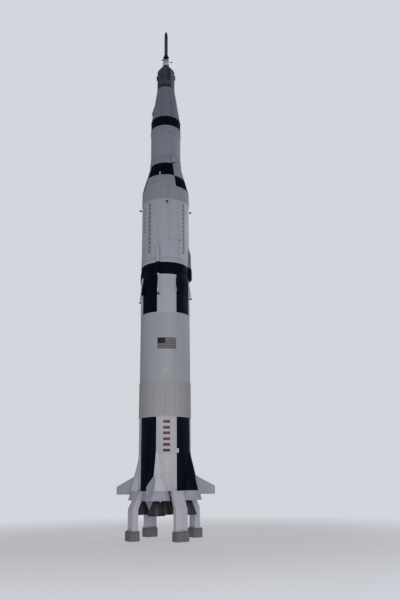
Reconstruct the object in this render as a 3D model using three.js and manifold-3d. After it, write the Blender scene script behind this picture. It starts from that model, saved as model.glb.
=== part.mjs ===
// A 1:10 scale model of a three-stage moon rocket, standing on four legs.
// Millimetres, +Z up, origin on the ground in the middle of the four feet.
// Fins and engine fairings lie along -Y, +X, +Y and -X, and the legs lie between them.
import * as THREE from "three";
import { mergeVertices } from "three/addons/utils/BufferGeometryUtils.js";
import Module from "manifold-3d";

const wasm = await Module();
wasm.setup();

// Driving sizes
const GAP = 0.3; // left between two pieces that touch
const FACETS = 60; // sides of the large round sections
const STAGE_R = 503; // first and second stages
const UPPER_R = 330; // third stage
const SKIRT_LOW_R = 338; // its aft skirt, where it stands on the cone
const SKIRT_TOP_R = 332;
const SERVICE_R = 198; // service module
const RING_OUT = 3; // a joint ring stands this far proud of the skin
const RING_H = 14;
const BASE_Z = 860; // underside of the first stage
const TIP_Z = 11446;
const QUARTER = Math.PI / 2;
const SIDES = ["front", "right", "back", "left"]; // -Y, +X, +Y, -X
const CORNERS = ["front_right", "back_right", "back_left", "front_left"];
const radians = THREE.MathUtils.degToRad;

// Upper end of each section of the stack
const HEIGHTS = {
  thrust: 1520,
  fuel: 2200,
  intertank: 2890,
  oxidizer: 4250,
  firstStage: 4610,
  lowerInterstage: 5080,
  secondAft: 5315,
  secondTank: 6760,
  secondForward: 7060,
  upperInterstage: 7690,
  thirdAft: 7890,
  thirdTank: 8494,
  thirdForward: 8640,
  instruments: 8850,
  adapter: 9750,
  service: 10245,
  command: 10470,
};

const paint = {
  white: { color: 0xc9c9cc, roughness: 0.55, metalness: 0.0 },
  black: { color: 0x0c1018, roughness: 0.5, metalness: 0.0 },
  grey: { color: 0x55585f, roughness: 0.45, metalness: 0.3 },
  dark: { color: 0x2a2d31, roughness: 0.6, metalness: 0.3 },
  concrete: { color: 0x9d98a3, roughness: 0.9, metalness: 0.0 },
};

const rocket = new THREE.Group();

// Adds one named piece in one of the finishes above.
function piece(name, geometry, finish) {
  const mesh = new THREE.Mesh(geometry, new THREE.MeshStandardMaterial(paint[finish]));
  mesh.name = name;
  rocket.add(mesh);
}

// A closed geometry as a solid that can be joined and cut.
function solid(geometry) {
  const bare = new THREE.BufferGeometry();
  bare.setAttribute("position", geometry.getAttribute("position"));
  bare.setIndex(geometry.index);
  const merged = mergeVertices(bare, 1e-4);
  return new wasm.Manifold(
    new wasm.Mesh({
      numProp: 3,
      vertProperties: new Float32Array(merged.attributes.position.array),
      triVerts: new Uint32Array(merged.index.array),
    }),
  );
}

// The geometry of a joined or cut solid.
function geometryOf(made) {
  const mesh = made.getMesh();
  const positions = new Float32Array(mesh.numVert * 3);
  for (let i = 0; i < mesh.numVert; i++) {
    positions.set(mesh.vertProperties.subarray(i * mesh.numProp, i * mesh.numProp + 3), i * 3);
  }
  const geometry = new THREE.BufferGeometry();
  geometry.setAttribute("position", new THREE.BufferAttribute(positions, 3));
  geometry.setIndex(new THREE.BufferAttribute(new Uint32Array(mesh.triVerts), 1));
  return geometry;
}

// Several closed geometries joined into one.
function joined(geometries) {
  return geometryOf(geometries.map(solid).reduce((all, next) => all.add(next)));
}

// A turned solid about Z from rows of [radius, height], bottom to top.
function turned(rows, facets = FACETS) {
  const points = rows.map(([radius, height]) => new THREE.Vector2(radius, height));
  return new THREE.LatheGeometry(points, facets).rotateX(QUARTER);
}

// A solid skinned over four-cornered sections, each a list of four [x, y, z] going round the same way.
function skinned(sections) {
  const index = [];
  const last = (sections.length - 1) * 4;
  for (let section = 0; section < last; section += 4) {
    for (let corner = 0; corner < 4; corner++) {
      const a = section + corner;
      const b = section + ((corner + 1) % 4);
      index.push(a, b, b + 4, a, b + 4, a + 4);
    }
  }
  index.push(0, 2, 1, 0, 3, 2, last, last + 1, last + 2, last, last + 2, last + 3);
  const geometry = new THREE.BufferGeometry();
  const positions = new Float32Array(sections.flat(2));
  geometry.setAttribute("position", new THREE.BufferAttribute(positions, 3));
  geometry.setIndex(index);
  return geometry;
}

// A section at one height of a piece on the -Y side, between two distances from the middle.
function slab(height, inner, outer, half) {
  return [
    [-half, -outer, height],
    [half, -outer, height],
    [half, -inner, height],
    [-half, -inner, height],
  ];
}

// A straight bar between two points.
function bar(from, to, radius, sides) {
  const a = new THREE.Vector3(...from);
  const b = new THREE.Vector3(...to);
  const along = b.clone().sub(a);
  const geometry = new THREE.CylinderGeometry(radius, radius, along.length(), sides);
  const turn = new THREE.Quaternion().setFromUnitVectors(new THREE.Vector3(0, 1, 0), along.normalize());
  geometry.applyQuaternion(turn);
  const middle = a.add(b).multiplyScalar(0.5);
  return geometry.translate(middle.x, middle.y, middle.z);
}

// The same shape turned from the -Y side to another side, counted in quarters from -Y towards +X.
function around(geometry, side) {
  return geometry.clone().rotateZ(side * QUARTER);
}

// Sections of the stack, from the ground up, most with a joint ring or a flange at the lower end
const ring = { out: RING_OUT, height: RING_H };
const flange = { out: 8, height: 86 };
const stack = [
  // name, lower end, upper end, radius at the lower end, radius at the upper end, ring, finish
  ["thrust_structure", BASE_Z, HEIGHTS.thrust, STAGE_R, STAGE_R, ring, "white"],
  ["fuel_tank", HEIGHTS.thrust, HEIGHTS.fuel, STAGE_R, STAGE_R, ring, "white"],
  ["oxidizer_tank", HEIGHTS.intertank, HEIGHTS.oxidizer, STAGE_R, STAGE_R, null, "white"],
  ["first_forward_skirt", HEIGHTS.oxidizer, HEIGHTS.firstStage, STAGE_R, STAGE_R, null, "white"],
  ["lower_interstage", HEIGHTS.firstStage, HEIGHTS.lowerInterstage, STAGE_R, STAGE_R, ring, "white"],
  ["second_aft_skirt", HEIGHTS.lowerInterstage, HEIGHTS.secondAft, STAGE_R, STAGE_R, ring, "black"],
  ["second_tank", HEIGHTS.secondAft, HEIGHTS.secondTank, STAGE_R, STAGE_R, null, "white"],
  ["second_forward_skirt", HEIGHTS.secondTank, HEIGHTS.secondForward, STAGE_R + 4, STAGE_R, ring, "white"],
  ["upper_interstage", HEIGHTS.secondForward, HEIGHTS.upperInterstage, STAGE_R, SKIRT_LOW_R, ring, "white"],
  ["third_aft_skirt", HEIGHTS.upperInterstage, HEIGHTS.thirdAft, SKIRT_LOW_R, SKIRT_TOP_R, flange, "white"],
  ["third_tank", HEIGHTS.thirdAft, HEIGHTS.thirdTank, UPPER_R, UPPER_R, null, "white"],
  ["third_forward_skirt", HEIGHTS.thirdTank, HEIGHTS.thirdForward, SKIRT_TOP_R, SKIRT_TOP_R, ring, "white"],
  ["instrument_ring", HEIGHTS.thirdForward, HEIGHTS.instruments, UPPER_R, UPPER_R, ring, "black"],
  ["lander_adapter", HEIGHTS.instruments, HEIGHTS.adapter, UPPER_R, SERVICE_R, ring, "white"],
  ["service_module", HEIGHTS.adapter, HEIGHTS.service, SERVICE_R, SERVICE_R, ring, "grey"],
];

// One section, or with extra the room that it takes with a gap all round
function stackSection(bottom, top, lower, upper, edge, extra = 0) {
  const low = bottom + GAP / 2;
  const high = top - GAP / 2;
  if (!edge) {
    return turned([[0, low], [lower + extra, low], [upper + extra, high], [0, high]]);
  }
  const edgeTop = low + edge.height + extra;
  const skin = lower + ((upper - lower) * edge.height) / (high - low) + extra;
  return turned([
    [0, low],
    [lower + extra + edge.out, low],
    [skin + edge.out, edgeTop],
    [skin, edgeTop],
    [upper + extra, high],
    [0, high],
  ]);
}

// Warning lamps: four on short arms round a section
const LAMP_OUT = 42;
const LAMP_R = 20;
const LAMP_H = 40;
const LAMP_ARM_R = 6;
const lampRings = {
  // section: height, turn from the -Y side in degrees
  lower_interstage: { height: 4632, turn: 4 },
  second_tank: { height: 6690, turn: 22 },
};

function lamps({ height, turn }) {
  const reach = STAGE_R + LAMP_OUT;
  const arm = bar([0, 20 - STAGE_R, height], [0, -reach, height], LAMP_ARM_R, 4);
  const lamp = bar([0, -reach, height - LAMP_H / 2], [0, -reach, height + LAMP_H / 2], LAMP_R, 8);
  const one = joined([arm, lamp]).rotateZ(radians(turn));
  return SIDES.map((name, side) => around(one, side));
}

// A blunt housing on the left flank of the adapter
const HOUSING_TURN = -71; // degrees from the middle of the front side
const housingRows = [
  // height, inner face, outer face, half width
  [9100, 260, 316, 28],
  [9112, 260, 322, 30],
  [9300, 240, 271, 20],
];

// What stands out from a section
function fittings(name) {
  if (name === "lander_adapter") {
    return [skinned(housingRows.map((row) => slab(...row))).rotateZ(radians(HOUSING_TURN))];
  }
  return name in lampRings ? lamps(lampRings[name]) : [];
}

for (const [name, bottom, top, lower, upper, edge, finish] of stack) {
  piece(name, joined([stackSection(bottom, top, lower, upper, edge), ...fittings(name)]), finish);
}

// Corrugated section between the two tanks of the first stage
const WAVES = 60;
const WAVE_OUT = 11;
const waveSteps = [
  // share of one wave, how far out
  [0.0, 0],
  [0.3, 0],
  [0.45, WAVE_OUT],
  [0.85, WAVE_OUT],
];

function corrugated() {
  const corners = [];
  for (let wave = 0; wave < WAVES; wave++) {
    for (const [share, out] of waveSteps) {
      const angle = ((wave + share) / WAVES) * Math.PI * 2;
      corners.push(new THREE.Vector2(Math.cos(angle), Math.sin(angle)).multiplyScalar(STAGE_R + out));
    }
  }
  const depth = HEIGHTS.intertank - HEIGHTS.fuel - GAP;
  const geometry = new THREE.ExtrudeGeometry(new THREE.Shape(corners), { depth, bevelEnabled: false });
  return geometry.translate(0, 0, HEIGHTS.fuel + GAP / 2);
}
piece("intertank", corrugated(), "white");

// Engine fairings: a cone beside the stage, over each outer engine, open below
const ENGINE_OUT = 462; // outer engines and their fairings stand this far from the middle
const RIM_Z = 690;
const RIM_R = 259;
const FAIRING_TAPER = 0.245; // out for each millimetre down
const FAIRING_WALL = 12;
const FAIRING_FACETS = 40;
const coneR = (height) => RIM_R - FAIRING_TAPER * (height - RIM_Z);
const CONE_TOP = RIM_Z + (RIM_R - 8) / FAIRING_TAPER;

function cone(extra, bottom, top) {
  const rows = [[0, bottom], [coneR(bottom) + extra, bottom], [coneR(top) + extra, top], [0, top]];
  return turned(rows, FAIRING_FACETS).translate(0, -ENGINE_OUT, 0);
}

function fairing() {
  const reach = STAGE_R + RING_OUT + GAP;
  const stage = turned([[0, 0], [reach, 0], [reach, HEIGHTS.fuel], [0, HEIGHTS.fuel]]);
  const pocket = cone(-FAIRING_WALL, 0, BASE_Z);
  return geometryOf(solid(cone(0, RIM_Z, CONE_TOP)).subtract(solid(stage)).subtract(solid(pocket)));
}

// Fins, from the outer line of each fairing to the tip
const FIN_TIP_OUT = 985;
const FIN_ROOT_OUT = 640; // where the leading edge leaves the fairing
const FIN_HIDDEN = 80; // the plate starts this far inside, before it is cut to the fairing
const FIN_BOTTOM = 793;
const FIN_TIP_TOP = 940;
const FIN_ROOT_TOP = 1115;
const FIN_ROOT_HALF = 17; // half thickness at the lower edge
const FIN_TIP_HALF = 8;
const FIN_NOSE = 0.2; // share of the thickness left at the leading edge

function fin() {
  const section = (out, top, half) => [
    [-half, -out, FIN_BOTTOM],
    [half, -out, FIN_BOTTOM],
    [half * FIN_NOSE, -out, top],
    [-half * FIN_NOSE, -out, top],
  ];
  const rise = (FIN_ROOT_TOP - FIN_TIP_TOP) / (FIN_TIP_OUT - FIN_ROOT_OUT);
  const plate = skinned([
    section(FIN_ROOT_OUT - FIN_HIDDEN, FIN_ROOT_TOP + rise * FIN_HIDDEN, FIN_ROOT_HALF),
    section(FIN_TIP_OUT, FIN_TIP_TOP, FIN_TIP_HALF),
  ]);
  return geometryOf(solid(plate).subtract(solid(cone(GAP, 0, CONE_TOP))));
}

const oneFairing = fairing();
const oneFin = fin();
SIDES.forEach((name, side) => {
  piece("fairing_" + name, around(oneFairing, side), "white");
  piece("fin_" + name, around(oneFin, side), "white");
});

// Engines: a bell open at the bottom, with its chamber and mounting block above
const engineRows = [
  // radius, height: down the inside of the bell, then up the outside
  [0, 740],
  [24, 740],
  [71, 640],
  [118, 540],
  [158, 430],
  [165, 430],
  [125, 540],
  [78, 640],
  [34, 748],
  [62, 800],
  [62, BASE_Z - GAP],
  [0, BASE_Z - GAP],
];
const oneEngine = turned(engineRows, 24);
piece("engine_center", oneEngine, "dark");
SIDES.forEach((name, side) => {
  const placed = oneEngine.clone().translate(0, -ENGINE_OUT, 0);
  piece("engine_" + name, around(placed, side), "dark");
});

// Legs and their feet, between the fairings
const FOOT_TOP = 170;
const legRows = [
  // height, inner face, outer face, half width
  [FOOT_TOP + GAP, 592, 700, 116],
  [545, 588, 698, 115],
  [BASE_Z - GAP, 440, 546, 115],
];
const FOOT_CHAMFER = 12;
const FOOT_INNER = 556;
const FOOT_OUTER = 745;
const FOOT_HALF = 125;
const footRows = [
  // height, inner face, outer face, half width
  [0, FOOT_INNER, FOOT_OUTER, FOOT_HALF],
  [FOOT_TOP - FOOT_CHAMFER, FOOT_INNER, FOOT_OUTER, FOOT_HALF],
  [FOOT_TOP, FOOT_INNER + FOOT_CHAMFER, FOOT_OUTER - FOOT_CHAMFER, FOOT_HALF - FOOT_CHAMFER],
];
const oneLeg = skinned(legRows.map((row) => slab(...row)));
const oneFoot = skinned(footRows.map((row) => slab(...row)));
CORNERS.forEach((name, corner) => {
  piece("leg_" + name, around(oneLeg, corner + 0.5), "white");
  piece("foot_" + name, around(oneFoot, corner + 0.5), "concrete");
});

// Tapered fairings on the skin: long ones over the feed lines of the second stage, short ones over the small
// motors below them, and two over the control thrusters of the third stage
const fairingRows = {
  feed_fairing: [
    // height, how far out from the skin, half width
    [5006, 16, 20],
    [5056, 60, 34],
    [5245, 60, 36],
    [5325, 46, 36],
    [5594, 44, 34],
    [5770, 4, 14],
  ],
  motor_fairing: [
    [4672, 44, 26],
    [4690, 50, 34],
    [4740, 42, 34],
    [4850, 24, 28],
    [4994, 4, 12],
  ],
  control_fairing: [
    [7700, 50, 54],
    [7712, 54, 54],
    [7850, 52, 54],
    [7886, 20, 46],
  ],
};
// Where they stand, in degrees from the middle of the front side towards the right one
const feedTurns = { front: 2, right: 97, back: 182, left: 265 };
const MOTOR_TURN = 2;
const motorNames = ["front", "front_right", "right", "back_right", "back", "back_left", "left", "front_left"];
const controlTurns = { front: 46, back: 226 };

// The room that the skins below these fairings take, with the joint ring or the flange that they cross
const stageBelow = stackSection(HEIGHTS.firstStage, HEIGHTS.lowerInterstage, STAGE_R, STAGE_R, null, GAP);
const stageAbove = stackSection(HEIGHTS.lowerInterstage - GAP, HEIGHTS.secondTank, STAGE_R, STAGE_R, ring, GAP);
const stageSeat = solid(joined([stageBelow, stageAbove]));
const skirtSeat = solid(
  stackSection(HEIGHTS.upperInterstage, HEIGHTS.thirdAft, SKIRT_LOW_R, SKIRT_TOP_R, flange, GAP),
);

// One such fairing on a skin of the given radius, cut to that skin
function skinFairing(kind, radius, seat, degrees) {
  const sections = fairingRows[kind].map(([height, out, half]) => slab(height, radius - 20, radius + out, half));
  return geometryOf(solid(skinned(sections).rotateZ(radians(degrees))).subtract(seat));
}

for (const [name, turn] of Object.entries(feedTurns)) {
  piece("feed_fairing_" + name, skinFairing("feed_fairing", STAGE_R, stageSeat, turn), "white");
}
motorNames.forEach((name, index) => {
  const turn = MOTOR_TURN + (360 / motorNames.length) * index;
  piece("motor_fairing_" + name, skinFairing("motor_fairing", STAGE_R, stageSeat, turn), "white");
});
for (const [name, turn] of Object.entries(controlTurns)) {
  piece("control_fairing_" + name, skinFairing("control_fairing", SKIRT_TOP_R, skirtSeat, turn), "white");
}

// Thruster quads on the service module: a plate with four small nozzles
const QUAD_Z = 10110;
const QUAD_FACET = 3; // the facet that the first plate lies on, of the sixty round the module
const QUAD_PLATE = { width: 60, height: 76, depth: 16 };
const NOZZLE_OUT = 22;

function quad() {
  const inner = SERVICE_R * Math.cos(Math.PI / FACETS) + GAP; // against the flat of one facet
  const { width, height, depth } = QUAD_PLATE;
  const plate = new THREE.BoxGeometry(width, depth, height).translate(0, -inner - depth / 2, QUAD_Z);
  const reach = inner + depth + 4;
  const nozzles = [[1, 0], [-1, 0], [0, 1], [0, -1]].map(([across, up]) => {
    const from = [across * 4, -inner - depth + 4, QUAD_Z + up * 4];
    const to = [across * (width / 2 + NOZZLE_OUT), -reach, QUAD_Z + up * (height / 2 + NOZZLE_OUT)];
    return bar(from, to, 8, 6);
  });
  return joined([plate, ...nozzles]);
}
const oneQuad = quad().rotateZ(((QUAD_FACET - 0.5) / FACETS) * Math.PI * 2);
SIDES.forEach((name, side) => {
  piece("thrusters_" + name, around(oneQuad, side), "dark");
});

// Command module under its cover
const coverRows = [
  // radius, height
  [0, HEIGHTS.service + GAP / 2],
  [SERVICE_R, HEIGHTS.service + GAP / 2],
  [SERVICE_R - 2, HEIGHTS.service + 10],
  [90, HEIGHTS.command - 65],
  [48, HEIGHTS.command],
  [0, HEIGHTS.command],
];
piece("command_module", turned(coverRows), "dark");

// Escape tower: a lattice that stands on the cover, with small lamps on arms near its top
const TOWER_FOOT_R = 82;
const TOWER_TOP = 10612;
const TOWER_TUBE = 6;
const TOWER_PLATE = { side: 98, thick: 8 };
const TOWER_LAMP_Z = 10514;
const TOWER_LAMP_OUT = 130;
const TOWER_LAMP_R = 15;
const towerLevels = [
  // height, half width
  [HEIGHTS.command - 70, TOWER_FOOT_R * Math.SQRT1_2],
  [10500, 51],
  [TOWER_TOP - TOWER_TUBE, 46],
];

function tower() {
  const turns = [[-1, -1], [1, -1], [1, 1], [-1, 1]];
  const node = (level, corner) => {
    const [height, half] = towerLevels[level];
    const [x, y] = turns[corner % 4];
    return [x * half, y * half, height];
  };
  const tubes = [];
  for (let corner = 0; corner < 4; corner++) {
    tubes.push(bar(node(0, corner), node(1, corner), TOWER_TUBE, 4));
    tubes.push(bar(node(1, corner), node(2, corner), TOWER_TUBE, 4));
    tubes.push(bar(node(1, corner), node(1, corner + 1), TOWER_TUBE - 1, 4));
    tubes.push(bar(node(2, corner), node(2, corner + 1), TOWER_TUBE, 4));
    tubes.push(bar(node(0, corner), node(1, corner + 1), TOWER_TUBE - 2, 4));
    tubes.push(bar(node(1, corner), node(2, corner + 1), TOWER_TUBE - 2, 4));
  }
  const { side, thick } = TOWER_PLATE;
  tubes.push(new THREE.BoxGeometry(side, side, thick).translate(0, 0, TOWER_TOP - thick / 2));
  for (const degrees of [98, 218, 338]) {
    const low = [0, -TOWER_LAMP_OUT, TOWER_LAMP_Z - LAMP_H / 2];
    const high = [0, -TOWER_LAMP_OUT, TOWER_LAMP_Z + LAMP_H / 2];
    const arm = bar([0, -30, TOWER_TOP - TOWER_TUBE], [0, -TOWER_LAMP_OUT, TOWER_LAMP_Z], 4, 4);
    tubes.push(joined([arm, bar(low, high, TOWER_LAMP_R, 8)]).rotateZ(radians(degrees)));
  }
  const grown = coverRows.map(([radius, height]) => [radius ? radius + GAP : 0, height + GAP]);
  const above = turned([[0, 10380], [200, 10380], [200, TOWER_TOP], [0, TOWER_TOP]], 24);
  return geometryOf(solid(joined(tubes)).intersect(solid(above)).subtract(solid(turned(grown))));
}
piece("escape_tower", tower(), "white");

// Escape motor: nozzle block, casing and pointed nose
const MOTOR_R = 39;
const MOTOR_FLANGE = 3; // the casing's lower end stands this far out
const MOTOR_BOTTOM = 10745;
const NOSE_BOTTOM = 11190;
const NOSE_STEPS = 5;
const NOZZLE_BLOCK_R = 50;
const NOZZLE = { throat: 12, exit: 25, length: 66, cant: 35, out: 35, up: 58 };

function nozzleBlock() {
  const bottom = TOWER_TOP + GAP;
  const shapes = [
    turned(
      [
        [0, bottom],
        [46, bottom],
        [NOZZLE_BLOCK_R, bottom + 40],
        [MOTOR_R + MOTOR_FLANGE, MOTOR_BOTTOM - GAP],
        [0, MOTOR_BOTTOM - GAP],
      ],
      24,
    ),
  ];
  const { throat, exit, length, cant, out, up } = NOZZLE;
  for (const side of [0.5, 1.5, 2.5, 3.5]) {
    const nozzle = new THREE.CylinderGeometry(throat, exit, length, 12).rotateX(QUARTER);
    nozzle.rotateX(radians(-cant)).translate(0, -out, bottom + up);
    shapes.push(around(nozzle, side));
  }
  return joined(shapes);
}
piece("escape_nozzles", nozzleBlock(), "black");

const casingRows = [
  // radius, height
  [0, MOTOR_BOTTOM],
  [MOTOR_R + MOTOR_FLANGE, MOTOR_BOTTOM],
  [MOTOR_R, MOTOR_BOTTOM + 12],
  [MOTOR_R, NOSE_BOTTOM - GAP],
  [0, NOSE_BOTTOM - GAP],
];
piece("escape_motor", turned(casingRows, 24), "grey");

const noseRows = [[0, NOSE_BOTTOM]];
for (let step = 0; step < NOSE_STEPS; step++) {
  const share = step / NOSE_STEPS;
  noseRows.push([MOTOR_R * (1 - share ** 1.6), NOSE_BOTTOM + share * (TIP_Z - NOSE_BOTTOM)]);
}
noseRows.push([0, TIP_Z]);
piece("escape_nose", turned(noseRows, 24), "grey");

export default rocket;
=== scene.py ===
"""Looks of a three-stage moon rocket display replica, a 1:10 scale model that stands on four legs.

Metres, +Z up. An azimuth is counted in degrees from the front, -Y, towards the right side, +X.
"""

import math

import bmesh
import bpy
from mathutils import Matrix, Vector


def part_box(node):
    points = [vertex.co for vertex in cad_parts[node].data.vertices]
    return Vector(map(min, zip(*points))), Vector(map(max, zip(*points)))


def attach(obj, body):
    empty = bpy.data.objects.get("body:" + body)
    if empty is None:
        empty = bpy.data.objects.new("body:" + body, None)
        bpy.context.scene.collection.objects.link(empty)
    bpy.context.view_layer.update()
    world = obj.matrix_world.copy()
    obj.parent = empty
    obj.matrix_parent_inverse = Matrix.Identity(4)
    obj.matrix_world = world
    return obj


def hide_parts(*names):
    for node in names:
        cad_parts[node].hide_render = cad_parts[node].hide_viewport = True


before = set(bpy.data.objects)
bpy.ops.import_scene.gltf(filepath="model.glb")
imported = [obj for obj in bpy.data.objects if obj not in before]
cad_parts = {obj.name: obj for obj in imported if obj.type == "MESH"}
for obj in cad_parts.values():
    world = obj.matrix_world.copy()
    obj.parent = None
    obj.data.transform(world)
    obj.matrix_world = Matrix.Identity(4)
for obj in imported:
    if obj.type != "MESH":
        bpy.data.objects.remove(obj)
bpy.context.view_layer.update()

# Sizes that the frame gives
STAGE_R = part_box("oxidizer_tank")[1].x
UPPER_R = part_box("third_tank")[1].x
SERVICE_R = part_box("command_module")[1].x
SIDES = ["front", "right", "back", "left"]
CORNERS = ["front_right", "back_right", "back_left", "front_left"]

# Shared sizes of the looks
FACETS = 192  # sides of the large round sections, a multiple of eight for the paint's edges
SKIN_GAP = 0.0003  # left between two sections of the stack
BEAD = 0.0015  # height of the small slope beside a raised band
SMOOTH_ANGLE = math.radians(32)


def low(node):
    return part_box(node)[0].z


def high(node):
    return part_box(node)[1].z


def spot(azimuth, out, height):
    """The point at an azimuth in degrees, a distance from the axis and a height."""
    angle = math.radians(azimuth)
    return Vector((out * math.sin(angle), -out * math.cos(angle), height))


def beside(azimuth, out, across, height):
    """A point beside that one, to the right as seen from outside."""
    angle = math.radians(azimuth)
    return spot(azimuth, out, height) + across * Vector((math.cos(angle), math.sin(angle), 0))


# The camera, at the photograph's viewing angle and the scale of the model
CAMERA_AZIMUTH = 18.87
CAMERA_OUT = 11.862
CAMERA_HEIGHT = 1.019
CAMERA_PITCH = 17.0  # degrees upwards
CAMERA_YAW = 3.503  # degrees to the right of the rocket's axis
CAMERA_ROLL = -0.847
CAMERA_LENS = 35.57


def camera():
    """The scene's camera."""
    data = bpy.data.cameras.new("camera")
    data.lens = CAMERA_LENS
    data.clip_end = 400
    eye = bpy.data.objects.new("camera", data)
    bpy.context.scene.collection.objects.link(eye)
    heading = Matrix.Rotation(math.radians(CAMERA_AZIMUTH - CAMERA_YAW), 4, "Z")
    pitch = Matrix.Rotation(math.radians(90 + CAMERA_PITCH), 4, "X")
    roll = Matrix.Rotation(math.radians(CAMERA_ROLL), 4, "Z")
    place = Matrix.Translation(spot(CAMERA_AZIMUTH, CAMERA_OUT, CAMERA_HEIGHT))
    eye.matrix_world = place @ heading @ pitch @ roll
    bpy.context.scene.camera = eye


camera()


# Finishes

materials = {}


def shader(name, colour, roughness, metallic=0.0, specular=0.5, coat=0.0):
    """A material with one shader and its plain values set on the shader's own sockets."""
    material = bpy.data.materials.new(name)
    material.use_nodes = True
    surface = material.node_tree.nodes["Principled BSDF"]
    surface.inputs["Base Color"].default_value = (*colour, 1)
    surface.inputs["Roughness"].default_value = roughness
    surface.inputs["Metallic"].default_value = metallic
    surface.inputs["Specular IOR Level"].default_value = specular
    surface.inputs["Coat Weight"].default_value = coat
    materials[name] = material
    return material, surface


def noise(material, scale, stretch=(1, 1, 1), detail=4.0, roughness=0.55, shift=(0, 0, 0)):
    """A noise in the object's own metres, stretched along an axis. Returns its factor."""
    nodes, links = material.node_tree.nodes, material.node_tree.links
    place = nodes.new("ShaderNodeTexCoord")
    mapping = nodes.new("ShaderNodeMapping")
    mapping.inputs["Scale"].default_value = stretch
    mapping.inputs["Location"].default_value = shift
    texture = nodes.new("ShaderNodeTexNoise")
    texture.inputs["Scale"].default_value = scale
    texture.inputs["Detail"].default_value = detail
    texture.inputs["Roughness"].default_value = roughness
    links.new(place.outputs["Object"], mapping.inputs["Vector"])
    links.new(mapping.outputs["Vector"], texture.inputs["Vector"])
    return texture.outputs["Fac"]


def ranged(material, value, low_in, high_in, low_out, high_out):
    """A value moved from one range to another and held inside it."""
    node = material.node_tree.nodes.new("ShaderNodeMapRange")
    node.inputs["From Min"].default_value = low_in
    node.inputs["From Max"].default_value = high_in
    node.inputs["To Min"].default_value = low_out
    node.inputs["To Max"].default_value = high_out
    material.node_tree.links.new(value, node.inputs["Value"])
    return node.outputs["Result"]


def mixed(material, amount, first, second):
    """A colour between two others, each a colour or the output of a node."""
    node = material.node_tree.nodes.new("ShaderNodeMix")
    node.data_type = "RGBA"
    for socket, colour in ((node.inputs[6], first), (node.inputs[7], second)):
        if isinstance(colour, tuple):
            socket.default_value = (*colour, 1)
        else:
            material.node_tree.links.new(colour, socket)
    material.node_tree.links.new(amount, node.inputs["Factor"])
    return node.outputs[2]


def fed(surface, socket, value):
    """Feeds the output of a node into one of the surface's sockets."""
    value.id_data.links.new(value, surface.inputs[socket])


def bumped(material, surface, value, strength, distance):
    """Raises the surface a little by a value."""
    node = material.node_tree.nodes.new("ShaderNodeBump")
    node.inputs["Strength"].default_value = strength
    node.inputs["Distance"].default_value = distance
    material.node_tree.links.new(value, node.inputs["Height"])
    fed(surface, "Normal", node.outputs["Normal"])


STAIN = 0.6  # how much of the stained colour the broad stains show
STREAK = 0.5  # and of the streaked colour the rain streaks


def weathered_paint(name, clean, stained, streaked, roughness, specular):
    """Satin paint with broad faint stains, thin upright rain streaks and a fine orange-peel surface."""
    material, surface = shader(name, clean, roughness, specular=specular)
    broad = ranged(material, noise(material, 1.3, (1, 1, 0.45), 4), 0.35, 0.7, 0, STAIN)
    rain = ranged(material, noise(material, 15, (1, 1, 0.035), 3), 0.47, 0.76, 0, STREAK)
    colour = mixed(material, broad, clean, stained)
    fed(surface, "Base Color", mixed(material, rain, colour, streaked))
    gloss = ranged(material, noise(material, 7, (1, 1, 0.3), 3), 0.3, 0.7, roughness - 0.07, roughness + 0.1)
    fed(surface, "Roughness", gloss)
    bumped(material, surface, noise(material, 240, detail=2), 0.12, 0.0006)


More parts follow.
